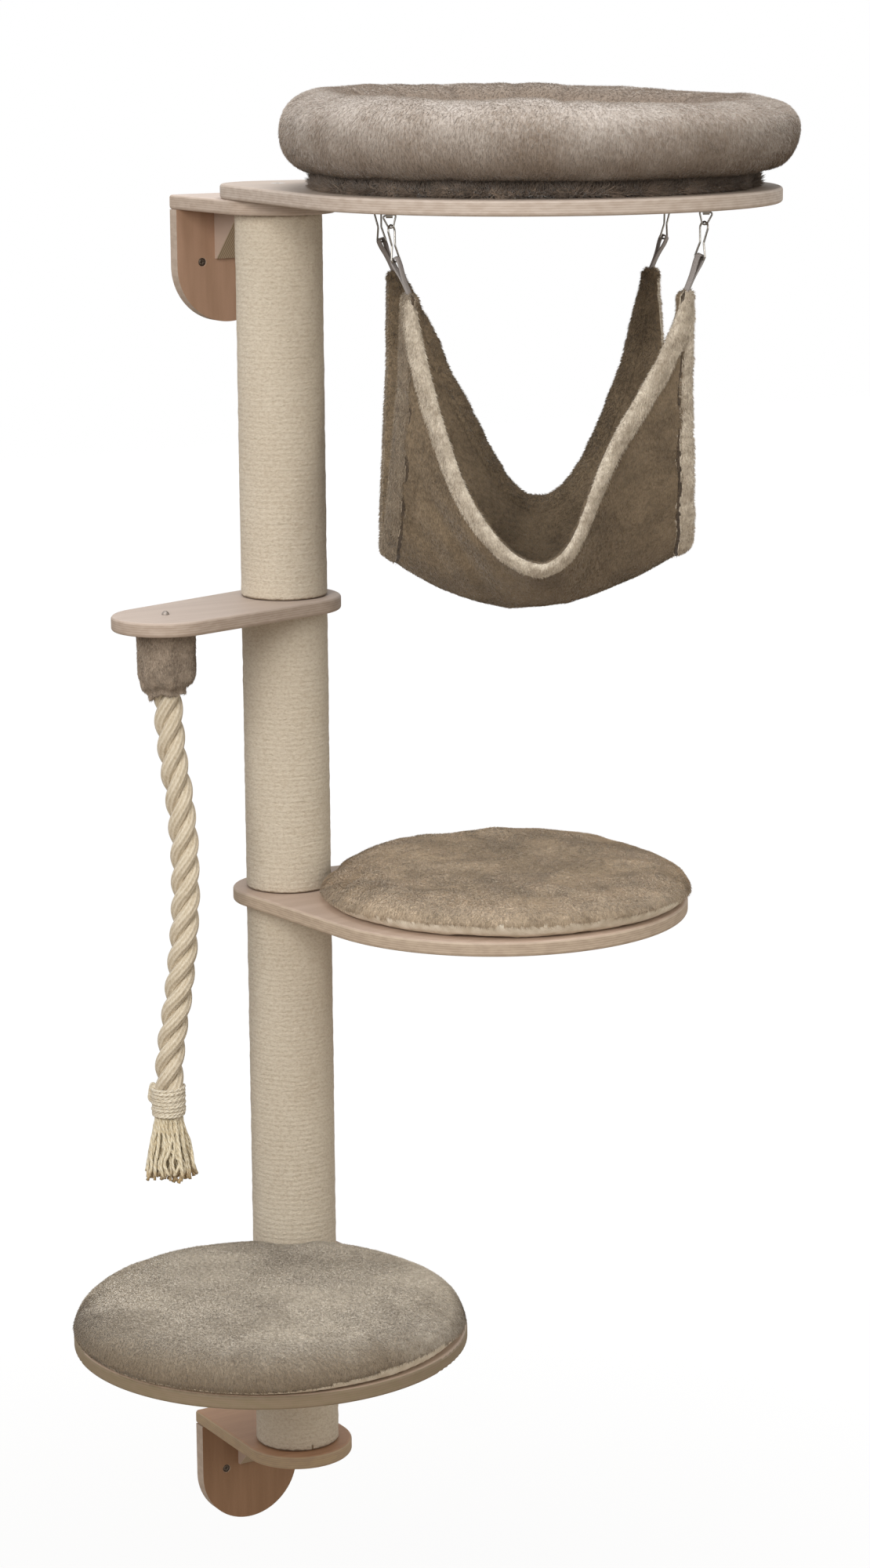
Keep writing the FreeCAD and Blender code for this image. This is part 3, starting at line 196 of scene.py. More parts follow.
class Graph:
    """Node tree of one material, built by expressions."""

    def __init__(self, name: str) -> None:
        """Starts an empty material."""
        self.material = bpy.data.materials.new(name)
        self.material.use_nodes = True
        self.tree = self.material.node_tree
        self.tree.nodes.clear()

    def add(self, kind: str, settings: dict | None = None, values: dict | None = None):
        """Adds one node to the material, as add_node does."""
        return add_node(self.tree, kind, settings, values)

    def coordinates(self, stretch: Colour = WHITE, turn: float = 0.0):
        """Object coordinates, stretched and turned about Z."""
        place = self.add("ShaderNodeTexCoord")
        values = {"Vector": place.outputs["Object"], "Scale": stretch, "Rotation": (0, 0, turn)}
        return self.add("ShaderNodeMapping", {}, values).outputs[0]

    def uv(self, stretch: Colour = WHITE):
        """The piece's own surface coordinates, stretched."""
        place = self.add("ShaderNodeTexCoord")
        values = {"Vector": place.outputs["UV"], "Scale": stretch}
        return self.add("ShaderNodeMapping", {}, values).outputs[0]

    def part(self, vector, axis: str) -> Value:
        """One axis of a vector."""
        node = self.add("ShaderNodeSeparateXYZ", {}, {0: vector})
        return Value(self, node.outputs[axis])

    def cloud(self, vector, scale: float, detail: float = 2.0, rough: float = 0.5) -> Value:
        """Soft noise around one half."""
        values = {"Vector": vector, "Scale": scale, "Detail": detail, "Roughness": rough}
        return Value(self, self.add("ShaderNodeTexNoise", {}, values).outputs["Fac"])

    def mix(self, factor: object, first: object, second: object):
        """Mixes two colours by a factor."""
        settings = {"data_type": "RGBA", "clamp_factor": True}
        node = self.add("ShaderNodeMix", settings, {0: factor, 6: first, 7: second})
        return node.outputs[2]

    def bump(self, height: Value, depth: float, strength: float = 1.0):
        """Normal of a height in metres times depth."""
        values = {"Height": height, "Distance": depth, "Strength": strength}
        return self.add("ShaderNodeBump", {}, values).outputs[0]

    def finish(self, colour: object, roughness: object, normal: object = None, **fixed: float):
        """Closes the material with one Principled shader.

        Args:
            colour: Base colour or its socket.
            roughness: Roughness or its value.
            normal: The bumped normal, if any.
            fixed: Other inputs, with underscores for spaces.

        Returns:
            The material.
        """
        values = {"Base Color": colour, "Roughness": roughness}
        if normal is not None:
            values["Normal"] = normal
        values.update({key.replace("_", " "): value for key, value in fixed.items()})
        shader = self.add("ShaderNodeBsdfPrincipled", {}, values)
        self.add("ShaderNodeOutputMaterial", {}, {"Surface": shader.outputs[0]})
        return self.material


# ------------------------------------------------------------------ finishes


@dataclass(frozen=True)
class BrushedAndShaded:
    """Darker zone of a round plush piece, painted: partly where its pile was brushed the other way,
    partly shade, on a cushion's rim and in the hollow inside the bed's bolster.

    The zone lies between two distances from an upright axis, and grows from the near one to
    the far one. Where a side is given, it fades away from that side.
    """

    axis: tuple[float, float]
    near: float
    far: float
    strength: float
    side: tuple[float, float] | None = None
    wander: float = 0.03

    def factor(self, g: Graph, place: bpy.types.NodeSocket) -> Value:
        """How much of the painted darker tone, brushed pile and shade, shows at a place."""
        across = g.part(place, "X") - self.axis[0]
        along = g.part(place, "Y") - self.axis[1]
        distance = (across ** 2.0 + along ** 2.0) ** 0.5
        ragged = g.cloud(g.coordinates((1.0, 1.0, 0.6)), 26.0, 4.0, 0.6) - 0.5
        zone = (distance + ragged * (2.0 * self.wander)).between(self.near, self.far)
        if self.side:
            toward = across * self.side[0] + along * self.side[1]
            zone = zone * (toward + ragged * 0.12).between(0.03, 0.15)
        return zone * self.strength


@dataclass(frozen=True)
class Fur:
    """Short plush pile, brushed lighter and darker in patches, with painted shade towards its foot and
    a painted darker zone where these are given.
    """

    name: str
    light: Colour
    dark: Colour
    patch: float = 0.07
    streak: Colour = (1.0, 1.0, 0.35)
    depth: float = 1.6
    # Heights of the band in which painted shade darkens the pile towards the bottom, and how strong
    # that shade is.
    foot: tuple[float, float] | None = None
    foot_painted_shade: float = 0.5
    # Painted darker zone, partly brushed pile and partly shade.
    brushed: BrushedAndShaded | None = None

    def material(self) -> bpy.types.Material:
        """Builds the finish."""
        g = Graph(self.name)
        place = g.coordinates()
        brushed = g.cloud(place, 1.0 / self.patch, 3.0, 0.55).between(0.3, 0.68)
        tufts = g.cloud(place, 170.0, 3.0, 0.6)
        hairs = g.cloud(g.coordinates(self.streak), 620.0, 2.0, 0.6)
        tone = brushed * 0.4 + tufts.between(0.34, 0.66) * 0.28 + hairs.between(0.34, 0.66) * 0.32
        colour = g.mix(tone, self.dark, self.light)
        # Painted darker zone: partly brushed pile, partly shade.
        if self.brushed:
            colour = g.mix(self.brushed.factor(g, place), colour, self.dark)
        # Painted shade: the pile darkens towards the bottom of the piece, into a deeper, warmer copy of
        # the dark colour.
        if self.foot:
            low, high = self.foot
            wander = g.cloud(place, 22.0, 4.0, 0.6) * 0.9 * (high - low)
            shade = 1.0 - (g.part(place, "Z") + wander).between(low, high + 0.5 * (high - low))
            deep = tuple(channel * share for channel, share in zip(self.dark, (0.66, 0.60, 0.53)))
            colour = g.mix(shade * self.foot_painted_shade, colour, deep)
        height = tufts * 0.65 + hairs * 0.5
        normal = g.bump(height, self.depth * MM, 0.8)
        return g.finish(colour, 0.95, normal, Sheen_Weight=0.35, Sheen_Roughness=0.45)


@dataclass(frozen=True)
class Plywood:
    """Birch plywood: a pale pinkish face with fine grain, and plies along the edge."""

    name: str
    underside: float
    turn: float = 0.0
    upright: bool = False
    face: Colour = (0.64, 0.54, 0.475)
    grain: Colour = (0.53, 0.425, 0.355)
    edge: Colour = (0.52, 0.425, 0.35)
    glue: Colour = (0.31, 0.225, 0.165)

    def material(self) -> bpy.types.Material:
        """Builds the finish."""
        g = Graph(self.name)
        stretch = (42.0, 42.0, 4.0) if self.upright else (4.0, 46.0, 40.0)
        along = g.coordinates(stretch, 0.0 if self.upright else -self.turn)
        veins = g.cloud(along, 1.0, 4.0, 0.6)
        fine = g.cloud(g.coordinates(), 900.0, 2.0, 0.6)
        broad = g.cloud(g.coordinates(), 9.0, 2.0)
        tone = veins.between(0.35, 0.7) * 0.55 + fine.between(0.3, 0.7) * 0.25 + broad * 0.2
        flat = g.mix(tone, self.grain, self.face)
        place = g.add("ShaderNodeTexCoord")
        axis = "Y" if self.upright else "Z"
        depth = (g.part(place.outputs["Object"], axis) - self.underside) / BOARD
        plies = (depth * (math.pi * 13.0)).sine().between(-0.2, 0.9)
        wear_and_shade = g.cloud(g.coordinates((1.0, 1.0, 3.0)), 60.0, 3.0).between(0.35, 0.65)
        side = g.mix(plies * 0.35 + wear_and_shade * 0.3, self.edge, self.glue)
        facing = g.part(place.outputs["Normal"], axis).absolute().between(0.6, 0.85)
        colour = g.mix(facing, side, flat)
        normal = g.bump(veins * 0.6 + fine * 0.4, 0.12 * MM, 0.6)
        rough = veins * 0.15 + 0.5
        return g.finish(colour, rough, normal)


@dataclass(frozen=True)
class Sisal:
    """Fine felted sisal mat, with a shadowed line at both ends of a section."""

    name: str
    low: float
    high: float
    nick: tuple[float, float] | None = None
    # Heights, from the section's ends, of the painted shadow lines at its foot and head.
    foot_shadow_line: tuple[float, float] = (0.0036, 0.0062)
    head_shadow_line: tuple[float, float] = (-0.0007, 0.0020)
    light: Colour = (0.83, 0.755, 0.625)
    dark: Colour = (0.62, 0.525, 0.40)
    # Colour of the painted shadow lines and of the slit's painted shade.
    seam: Colour = (0.20, 0.125, 0.065)

    def material(self) -> bpy.types.Material:
        """Builds the finish."""
        g = Graph(self.name)
        place = g.coordinates()
        nubs = g.cloud(g.coordinates((1.0, 1.0, 1.7)), 240.0, 3.0, 0.65)
        fibre = g.cloud(g.coordinates((1.0, 1.0, 2.6)), 700.0, 2.0, 0.6)
        stains = g.cloud(place, 7.0, 3.0).between(0.42, 0.75)
        rows = (g.part(place, "Z") * 900.0 + g.cloud(place, 30.0) * 5.0).sine()
        tone = nubs.between(0.3, 0.62) * 0.6 + fibre.between(0.3, 0.7) * 0.25 + rows * 0.05
        colour = g.mix(tone - stains * 0.22, self.dark, self.light)
        # Painted shadow: dark ragged lines where the section meets the board below and above.
        height = g.part(place, "Z") + g.cloud(place, 130.0, 3.0) * 0.004
        bottom = 1.0 - height.between(*(self.low + edge for edge in self.foot_shadow_line))
        top = height.between(*(self.high + edge for edge in self.head_shadow_line))
        colour = g.mix((bottom + top) * 0.85, colour, self.seam)
        # Painted shade of a small slit low on the first section.
        if self.nick:
            across = (g.part(place, "X") - self.nick[0]) ** 2.0
            along = (g.part(place, "Y") - self.nick[1]) ** 2.0
            near = 1.0 - ((across + along) ** 0.5).between(0.0006, 0.0022)
            low = 1.0 - g.part(place, "Z").between(self.low + 0.006, self.low + 0.012)
            colour = g.mix(near * low * 0.9, colour, self.seam)
        normal = g.bump(nubs * 0.8 + fibre * 0.4 + rows * 0.08, 2.6 * MM, 1.0)
        return g.finish(colour, 0.93, normal, Sheen_Weight=0.1)


@dataclass(frozen=True)
class Yarn:
    """Strands of twisted yarn that follow the piece's own surface coordinates."""

    name: str
    light: Colour
    dark: Colour
    yarns: float = 9.0
    twist: float = 60.0
    tip: Colour | None = None
    tip_high: float = 0.0

    def material(self) -> bpy.types.Material:
        """Builds the finish."""
        g = Graph(self.name)
        surface = g.uv()
        around = g.part(surface, "X")
        along = g.part(surface, "Y")
        ridges = (around * (math.tau * self.yarns) + along * self.twist).sine()
        fuzz = g.cloud(g.coordinates((1.0, 1.0, 0.4)), 520.0, 3.0, 0.65)
        stain = g.cloud(g.coordinates(), 45.0, 2.0).between(0.45, 0.8)
        tone = ridges * 0.2 + fuzz.between(0.25, 0.7) * 0.6 + 0.25 - stain * 0.2
        colour = g.mix(tone, self.dark, self.light)
        if self.tip:
            height = g.part(g.coordinates(), "Z") + g.cloud(g.coordinates(), 90.0) * 0.02
            fade = 1.0 - height.between(self.tip_high, self.tip_high + 0.02)
            colour = g.mix(fade * 0.85, colour, self.tip)
        normal = g.bump(ridges * 0.5 + fuzz * 0.7, 0.8 * MM, 0.9)
        return g.finish(colour, 0.88, normal, Sheen_Weight=0.2)


@dataclass(frozen=True)
class Webbing:
    """Narrow woven tape with a fine chevron rib."""

    name: str = "grey_tape"
    light: Colour = (0.50, 0.47, 0.46)
    dark: Colour = (0.27, 0.25, 0.245)

    def material(self) -> bpy.types.Material:
        """Builds the finish."""
        g = Graph(self.name)
        surface = g.uv()
        across = g.part(surface, "X")
        along = g.part(surface, "Y")
        rib = (along * 5200.0 + (across * 30.0).sine() * 2.4).sine()
        thread = (across * 95.0).sine()
        fuzz = g.cloud(g.coordinates(), 1500.0, 2.0)
        tone = rib * 0.22 + thread * 0.16 + fuzz * 0.5 + 0.25
        colour = g.mix(tone, self.dark, self.light)
        normal = g.bump(rib * 0.5 + thread * 0.4, 0.25 * MM, 0.8)
        return g.finish(colour, 0.8, normal)


@dataclass(frozen=True)
class Metal:
    """Plated steel with faint drawing marks."""

    name: str
    colour: Colour
    rough: float
    marks: float = 0.12

    def material(self) -> bpy.types.Material:
        """Builds the finish."""
        g = Graph(self.name)
        wear = g.cloud(g.coordinates((1.0, 1.0, 0.2)), 900.0, 3.0, 0.6)
        dull = g.cloud(g.coordinates(), 160.0, 2.0)
        shade = tuple(channel * 0.72 for channel in self.colour)
        colour = g.mix(dull.between(0.35, 0.75) * 0.5, self.colour, shade)
        normal = g.bump(wear, 0.02 * MM, 0.5)
        return g.finish(colour, wear * self.marks + self.rough, normal, Metallic=1.0)


@dataclass(frozen=True)
class Lining:
    """Thin woven cotton of a cushion's underside."""

    name: str = "cream_lining"
    light: Colour = (0.86, 0.79, 0.67)
    dark: Colour = (0.60, 0.52, 0.40)

    def material(self) -> bpy.types.Material:
        """Builds the finish."""
        g = Graph(self.name)
        place = g.coordinates()
        warp = (g.part(place, "X") * 4200.0).sine() + (g.part(place, "Y") * 4200.0).sine()
        creases = g.cloud(place, 70.0, 3.0).between(0.3, 0.7)
        # Painted crease shade: the colour darkens where the crease bump lies low.
        tone = creases * 0.7 + warp * 0.08 + 0.2
        normal = g.bump(warp * 0.15 + creases, 0.5 * MM, 0.6)
        return g.finish(g.mix(tone, self.dark, self.light), 0.9, normal)


@dataclass(frozen=True)
class InnerWood:
    """Plain beech and board that only shows where the tree is taken apart."""

    name: str
    light: Colour
    dark: Colour

    def material(self) -> bpy.types.Material:
        """Builds the finish."""
        g = Graph(self.name)
        grain = g.cloud(g.coordinates((40.0, 40.0, 4.0)), 1.0, 4.0, 0.6)
        flecks = g.cloud(g.coordinates((1.0, 1.0, 0.3)), 700.0, 2.0)
        tone = grain.between(0.3, 0.7) * 0.7 + flecks * 0.3
        normal = g.bump(grain, 0.15 * MM, 0.5)
        return g.finish(g.mix(tone, self.dark, self.light), 0.6, normal)


# ------------------------------------------------------------------ mesh tools


def link(name: str, data: bpy.types.ID) -> bpy.types.Object:
    """New object of the scene that holds a mesh, curve, light or camera."""
    thing = bpy.data.objects.new(name, data)
    bpy.context.scene.collection.objects.link(thing)
    return thing


def evaluated(thing: bpy.types.Object) -> bpy.types.Mesh:
    """Copy of an object's mesh with its modifiers applied."""
    depsgraph = bpy.context.evaluated_depsgraph_get()
    return bpy.data.meshes.new_from_object(thing.evaluated_get(depsgraph))


def heading(angle: float) -> Vector:
    """Level direction at an angle from +X."""
    return Vector((math.cos(angle), math.sin(angle), 0.0))


def full_turn(count: int) -> list[float]:
    """Angles of one full turn in equal steps."""
    return [math.tau * step / count for step in range(count)]


def squarish(value: float, power: float) -> float:
    """A sine or cosine bent towards a squarer section, with its sign kept."""
    return math.copysign(abs(value) ** power, value)


def top_of(node: str) -> float:
    """Height of a solid's top."""
    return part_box(node)[1][2]


def foot_of(node: str) -> float:
    """Height of a solid's underside."""
    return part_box(node)[0][2]


def on_board(board: str, reach: float, height: float) -> Vector:
    """Point at a height, some way out from the post towards a board's far end."""
    place = POST_AXIS + heading(math.radians(TURNS[board])) * reach
    place.z = height
    return place


def new_piece(name: str, mesh: bpy.types.Mesh, body: Body | str) -> bpy.types.Object:
    """Links a mesh as one piece that rides on a body.

    Args:
        name: The piece's name.
        mesh: Its mesh, already in place.
        body: The body that it rides on.

    Returns:
        The object.
    """
    piece = link(name, mesh)
    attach(piece, body.value if isinstance(body, Body) else body)
    return piece


def surface(
    name: str, rows: Rows, wrap_rows: bool = False, wrap_columns: bool = True, caps: bool = True
) -> bpy.types.Mesh:
    """Mesh of a grid of points.

    Args:
        name: The mesh's name.
        rows: Rows of points, all of one length.
        wrap_rows: Whether the last row joins the first.
        wrap_columns: Whether each row closes on itself.
        caps: Whether the first and last rows are closed with a face, where they aren't joined.

    Returns:
        A smooth mesh with a UV map: X along a row from 0 to 1, Y the distance down the rows.
    """
    mesh = bpy.data.meshes.new(name)
    build = bmesh.new()
    layer = build.loops.layers.uv.new("surface")
    grid = [[build.verts.new(point) for point in row] for row in rows]
    count, width = len(grid), len(grid[0])
    travelled = [0.0]
    for before, after in zip(rows, rows[1:] + rows[:1]):
        travelled.append(travelled[-1] + (after[0] - before[0]).length)
    for i in range(count if wrap_rows else count - 1):
        for j in range(width if wrap_columns else width - 1):
            nxt_i, nxt_j = (i + 1) % count, (j + 1) % width
            corners = (grid[i][j], grid[nxt_i][j], grid[nxt_i][nxt_j], grid[i][nxt_j])
            face = build.faces.new(corners)
            face.smooth = True
            places = ((j, i), (j, i + 1), (j + 1, i + 1), (j + 1, i))
            for loop, (across, down) in zip(face.loops, places):
                loop[layer].uv = (across / width, travelled[down])
    if caps and not wrap_rows:
        build.faces.new(grid[0])
        build.faces.new(list(reversed(grid[-1])))
    bmesh.ops.recalc_face_normals(build, faces=build.faces)
    build.to_mesh(mesh)
    build.free()
    return mesh


def join(name: str, meshes: Sequence[bpy.types.Mesh]) -> bpy.types.Mesh:
    """Joins meshes into one, keeping their UV maps."""
    build = bmesh.new()
    for mesh in meshes:
        build.from_mesh(mesh)
    result = bpy.data.meshes.new(name)
    build.to_mesh(result)
    build.free()
    return result


def frames_along(points: Sequence[Vector]) -> list[tuple[Vector, Vector, Vector]]:
    """Point, side and upward directions along a line, without twist.

    Args:
        points: The line's points in order.

    Returns:
        For each point: the point and two directions square to the line.
    """
    result = []
    side = Vector((1.0, 0.0, 0.0))
    for index, point in enumerate(points):
        before = points[max(index - 1, 0)]
        after = points[min(index + 1, len(points) - 1)]
        along = (after - before).normalized()
        side = (side - along * side.dot(along)).normalized()
        result.append((point, side, along.cross(side)))
    return result


def tube_rows(
    points: Sequence[Vector], radius: Callable[[int, float], float], sides: int
) -> Rows:
    """Rings of a tube along a line.

    Args:
        points: The line's points.
        radius: Radius for the ring's number and the angle about the line.
        sides: Number of points in a ring.

    Returns:
        The rings.
    """
    rows = []
    for index, (point, side, up) in enumerate(frames_along(points)):
        ring = []
        for angle in full_turn(sides):
            reach = radius(index, angle)
            ring.append(point + (side * math.cos(angle) + up * math.sin(angle)) * reach)
        rows.append(ring)
    return rows


def smooth_line(points: Iterable[Sequence[float]], steps: int) -> list[Vector]:
    """Points of a smooth line through a few given ones.

    Args:
        points: The points to pass through.
        steps: Number of points for each stretch between two of them.

    Returns:
        The denser line.
    """
    knots = [Vector(point) for point in points]
    knots = [knots[0] * 2 - knots[1], *knots, knots[-1] * 2 - knots[-2]]
    line = []
    for p0, p1, p2, p3 in zip(knots, knots[1:], knots[2:], knots[3:]):
        for step in range(steps):
            t = step / steps
            cubic = (p1 * 3 - p0 - p2 * 3 + p3) * t**3
            square = (p0 * 2 - p1 * 5 + p2 * 4 - p3) * t**2
            line.append((p1 * 2 + (p2 - p0) * t + square + cubic) * 0.5)
    line.append(knots[-2])
    return line


def rough(point: Vector, size: float, seed: float = 0.0) -> float:
    """Smooth noise from -1 to 1 with features of a size in metres."""
    return noise.noise(point / size + Vector((seed, seed * 1.7, seed * 0.6)))


def folds(point: Vector, size: float, seed: float = 0.0) -> float:
    """Sharp-crested noise from 0 to 1, like creases in cloth."""
    return 1.0 - abs(rough(point, size, seed)) * 2.0


def dress(piece: bpy.types.Object, *materials: bpy.types.Material) -> None:
    """Gives a piece its materials in order, and keeps which face has which."""
    numbers = [polygon.material_index for polygon in piece.data.polygons]
    piece.data.materials.clear()
    for material in materials:
        piece.data.materials.append(material)
    piece.data.polygons.foreach_set("material_index", numbers)


def dress_node(node: str, material: bpy.types.Material) -> None:
    """Gives a CAD node a material."""
    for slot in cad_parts[node].material_slots:
        slot.material = material


def swell(piece: bpy.types.Object, voxel: float, pressure: float, cap: float) -> None:
    """Blows a cushion up as cloth and keeps the result in its mesh.

    Args:
        piece: A closed mesh piece, slightly smaller than it ends up.
        voxel: Size of the cells that it is remeshed with.
        pressure: Air pressure inside it.
        cap: The furthest that a point may move.
    """
    scene = bpy.context.scene
    remesh = piece.modifiers.new("even", "REMESH")
    remesh.mode = "VOXEL"
    remesh.voxel_size = voxel
    even = evaluated(piece)
    piece.modifiers.clear()
    piece.data = even
    start = [vertex.co.copy() for vertex in even.vertices]
    cloth = piece.modifiers.new("air", "CLOTH")
    cloth.settings.use_pressure = True
    cloth.settings.uniform_pressure_force = pressure
    cloth.settings.quality = 5
    cloth.settings.mass = 0.3
    cloth.settings.effector_weights.gravity = 0.0
    for number in range(1, AIR_FRAMES + 1):
        scene.frame_set(number)
    blown = evaluated(piece)
    piece.modifiers.clear()
    scene.frame_set(1)
    for vertex, before in zip(blown.vertices, start):
        moved = vertex.co - before
        if moved.length > cap:
            vertex.co = before + moved * (cap / moved.length)
    for polygon in blown.polygons:
        polygon.use_smooth = True
    piece.data = blown


@dataclass(frozen=True)
class Pile:
    """Short fibres that stand out of a fur surface, brushed one way.

    Sizes are in metres. The brush direction is in the object's frame.
    """

    count: int
    length: float
    width: float
    brush: tuple[float, float, float] = (0.0, 0.0, -1.0)
    stand: float = 0.45
    wander: float = 1.1
    swirl: float = 9.0
    seed: int = 1

    def nodes(self, name: str) -> bpy.types.NodeTree:
        """Builds the node tree that scatters and realises the fibres."""
        tree = bpy.data.node_groups.new(name + "_pile", "GeometryNodeTree")
        face = tree.interface
        face.new_socket("Surface", in_out="INPUT", socket_type="NodeSocketGeometry")
        for label in ("Density", "Length", "Width"):
            face.new_socket(label, in_out="INPUT", socket_type="NodeSocketFloat")
        face.new_socket("Brush", in_out="INPUT", socket_type="NodeSocketVector")
        face.new_socket("Material", in_out="INPUT", socket_type="NodeSocketMaterial")
        face.new_socket("Fibres", in_out="OUTPUT", socket_type="NodeSocketGeometry")

        add = partial(add_node, tree)
        given = add("NodeGroupInput").outputs
        scatter = add("GeometryNodeDistributePointsOnFaces", {}, {
            "Mesh": given["Surface"], "Density": given["Density"], "Seed": self.seed})
        cloud = add("ShaderNodeTexNoise", {}, {"Scale": self.swirl, "Detail": 2.0})
        off = add("ShaderNodeVectorMath", {"operation": "SUBTRACT"}, {
            0: cloud.outputs["Color"], 1: (0.5, 0.5, 0.5)})
        sway = add("ShaderNodeVectorMath", {"operation": "SCALE"}, {
            0: off.outputs[0], "Scale": self.wander * 2.0})
        stray = add("FunctionNodeRandomValue", {"data_type": "FLOAT_VECTOR"}, {
            0: (-0.42, -0.42, -0.42), 1: (0.42, 0.42, 0.42), "Seed": self.seed + 7})
        lift = add("ShaderNodeVectorMath", {"operation": "SCALE"}, {
            0: scatter.outputs["Normal"], "Scale": self.stand})
        brushed = add("ShaderNodeVectorMath", {"operation": "ADD"}, {
            0: given["Brush"], 1: sway.outputs[0]})
        strewn = add("ShaderNodeVectorMath", {"operation": "ADD"}, {
            0: brushed.outputs[0], 1: stray.outputs[0]})
        inward = add("ShaderNodeVectorMath", {"operation": "DOT_PRODUCT"}, {
            0: strewn.outputs[0], 1: scatter.outputs["Normal"]})
        part = add("ShaderNodeVectorMath", {"operation": "SCALE"}, {
            0: scatter.outputs["Normal"], "Scale": inward.outputs["Value"]})
        flat = add("ShaderNodeVectorMath", {"operation": "SUBTRACT"}, {
            0: strewn.outputs[0], 1: part.outputs[0]})
        lay = add("ShaderNodeVectorMath", {"operation": "NORMALIZE"}, {0: flat.outputs[0]})
        way = add("ShaderNodeVectorMath", {"operation": "ADD"}, {
            0: lay.outputs[0], 1: lift.outputs[0]})
        turn = add("FunctionNodeAlignRotationToVector", {"axis": "Z"}, {
            "Vector": way.outputs[0]})
        varied = add("FunctionNodeRandomValue", {"data_type": "FLOAT"}, {
            2: 0.55, 3: 1.25, "Seed": self.seed + 3})
        long = add("ShaderNodeMath", {"operation": "MULTIPLY"}, {
            0: given["Length"], 1: varied.outputs[1]})
        size = add("ShaderNodeCombineXYZ", {}, {
            "X": given["Width"], "Y": given["Width"], "Z": long.outputs[0]})
        fibre = add("GeometryNodeMeshCone", {"fill_type": "NGON"}, {
            "Vertices": 3, "Radius Top": 0.0, "Radius Bottom": 1.0, "Depth": 1.0})
        placed = add("GeometryNodeInstanceOnPoints", {}, {
            "Points": scatter.outputs["Points"], "Instance": fibre.outputs["Mesh"],
            "Rotation": turn.outputs[0], "Scale": size.outputs[0]})
        real = add("GeometryNodeRealizeInstances", {}, {0: placed.outputs[0]})
        finish = add("GeometryNodeSetMaterial", {}, {
            "Geometry": real.outputs[0], "Material": given["Material"]})
        add("NodeGroupOutput", {}, {0: finish.outputs[0]})
        return tree

    def grow(self, ground: bpy.types.Object, material: bpy.types.Material,
             index: int = 0) -> bpy.types.Mesh:
        """Fibres on one surface.

        Args:
            ground: The piece that they stand on.
            material: Their finish.
            index: Number of the finish whose faces they stand on.

        Returns:
            Their mesh.
        """
        base = evaluated(ground) if ground.modifiers else ground.data.copy()
        build = bmesh.new()
        build.from_mesh(base)
        bare = [face for face in build.faces if face.material_index != index]
        bmesh.ops.delete(build, geom=bare, context="FACES")
        build.to_mesh(base)
        build.free()
        area = sum(polygon.area for polygon in base.polygons)
        holder = link(ground.name + "_ground", base)
        modifier = holder.modifiers.new("pile", "NODES")
        modifier.node_group = self.nodes(ground.name)
        inputs = {"Density": self.count / area, "Length": self.length, "Width": self.width,
                  "Brush": self.brush, "Material": material}
        for item in modifier.node_group.interface.items_tree:
            if item.in_out == "INPUT" and item.name in inputs:
                modifier[item.identifier] = inputs[item.name]
        mesh = evaluated(holder)
        bpy.data.objects.remove(holder)
        return mesh

    def cover(self, ground: bpy.types.Object, body: Body, slot: Slot, number: int = 0,
              index: int = 0) -> bpy.types.Object:
        """Grows the fibres as a piece of their own that rides with the surface.

        Args:
            ground: The piece that they stand on.
            body: The body that both ride on.
            slot: The record's material slot; not used.
            number: Tells several piles of one surface apart.
            index: Number of the finish whose faces they stand on.

        Returns:
            The fibres.
        """
        mesh = self.grow(ground, ground.data.materials[index], index)
        piece = new_piece("%s_pile_%d" % (ground.name, number + 1), mesh, body)
        log.info("%s has %d faces", piece.name, len(mesh.polygons))
        return piece


# ------------------------------------------------------------------ boards and post


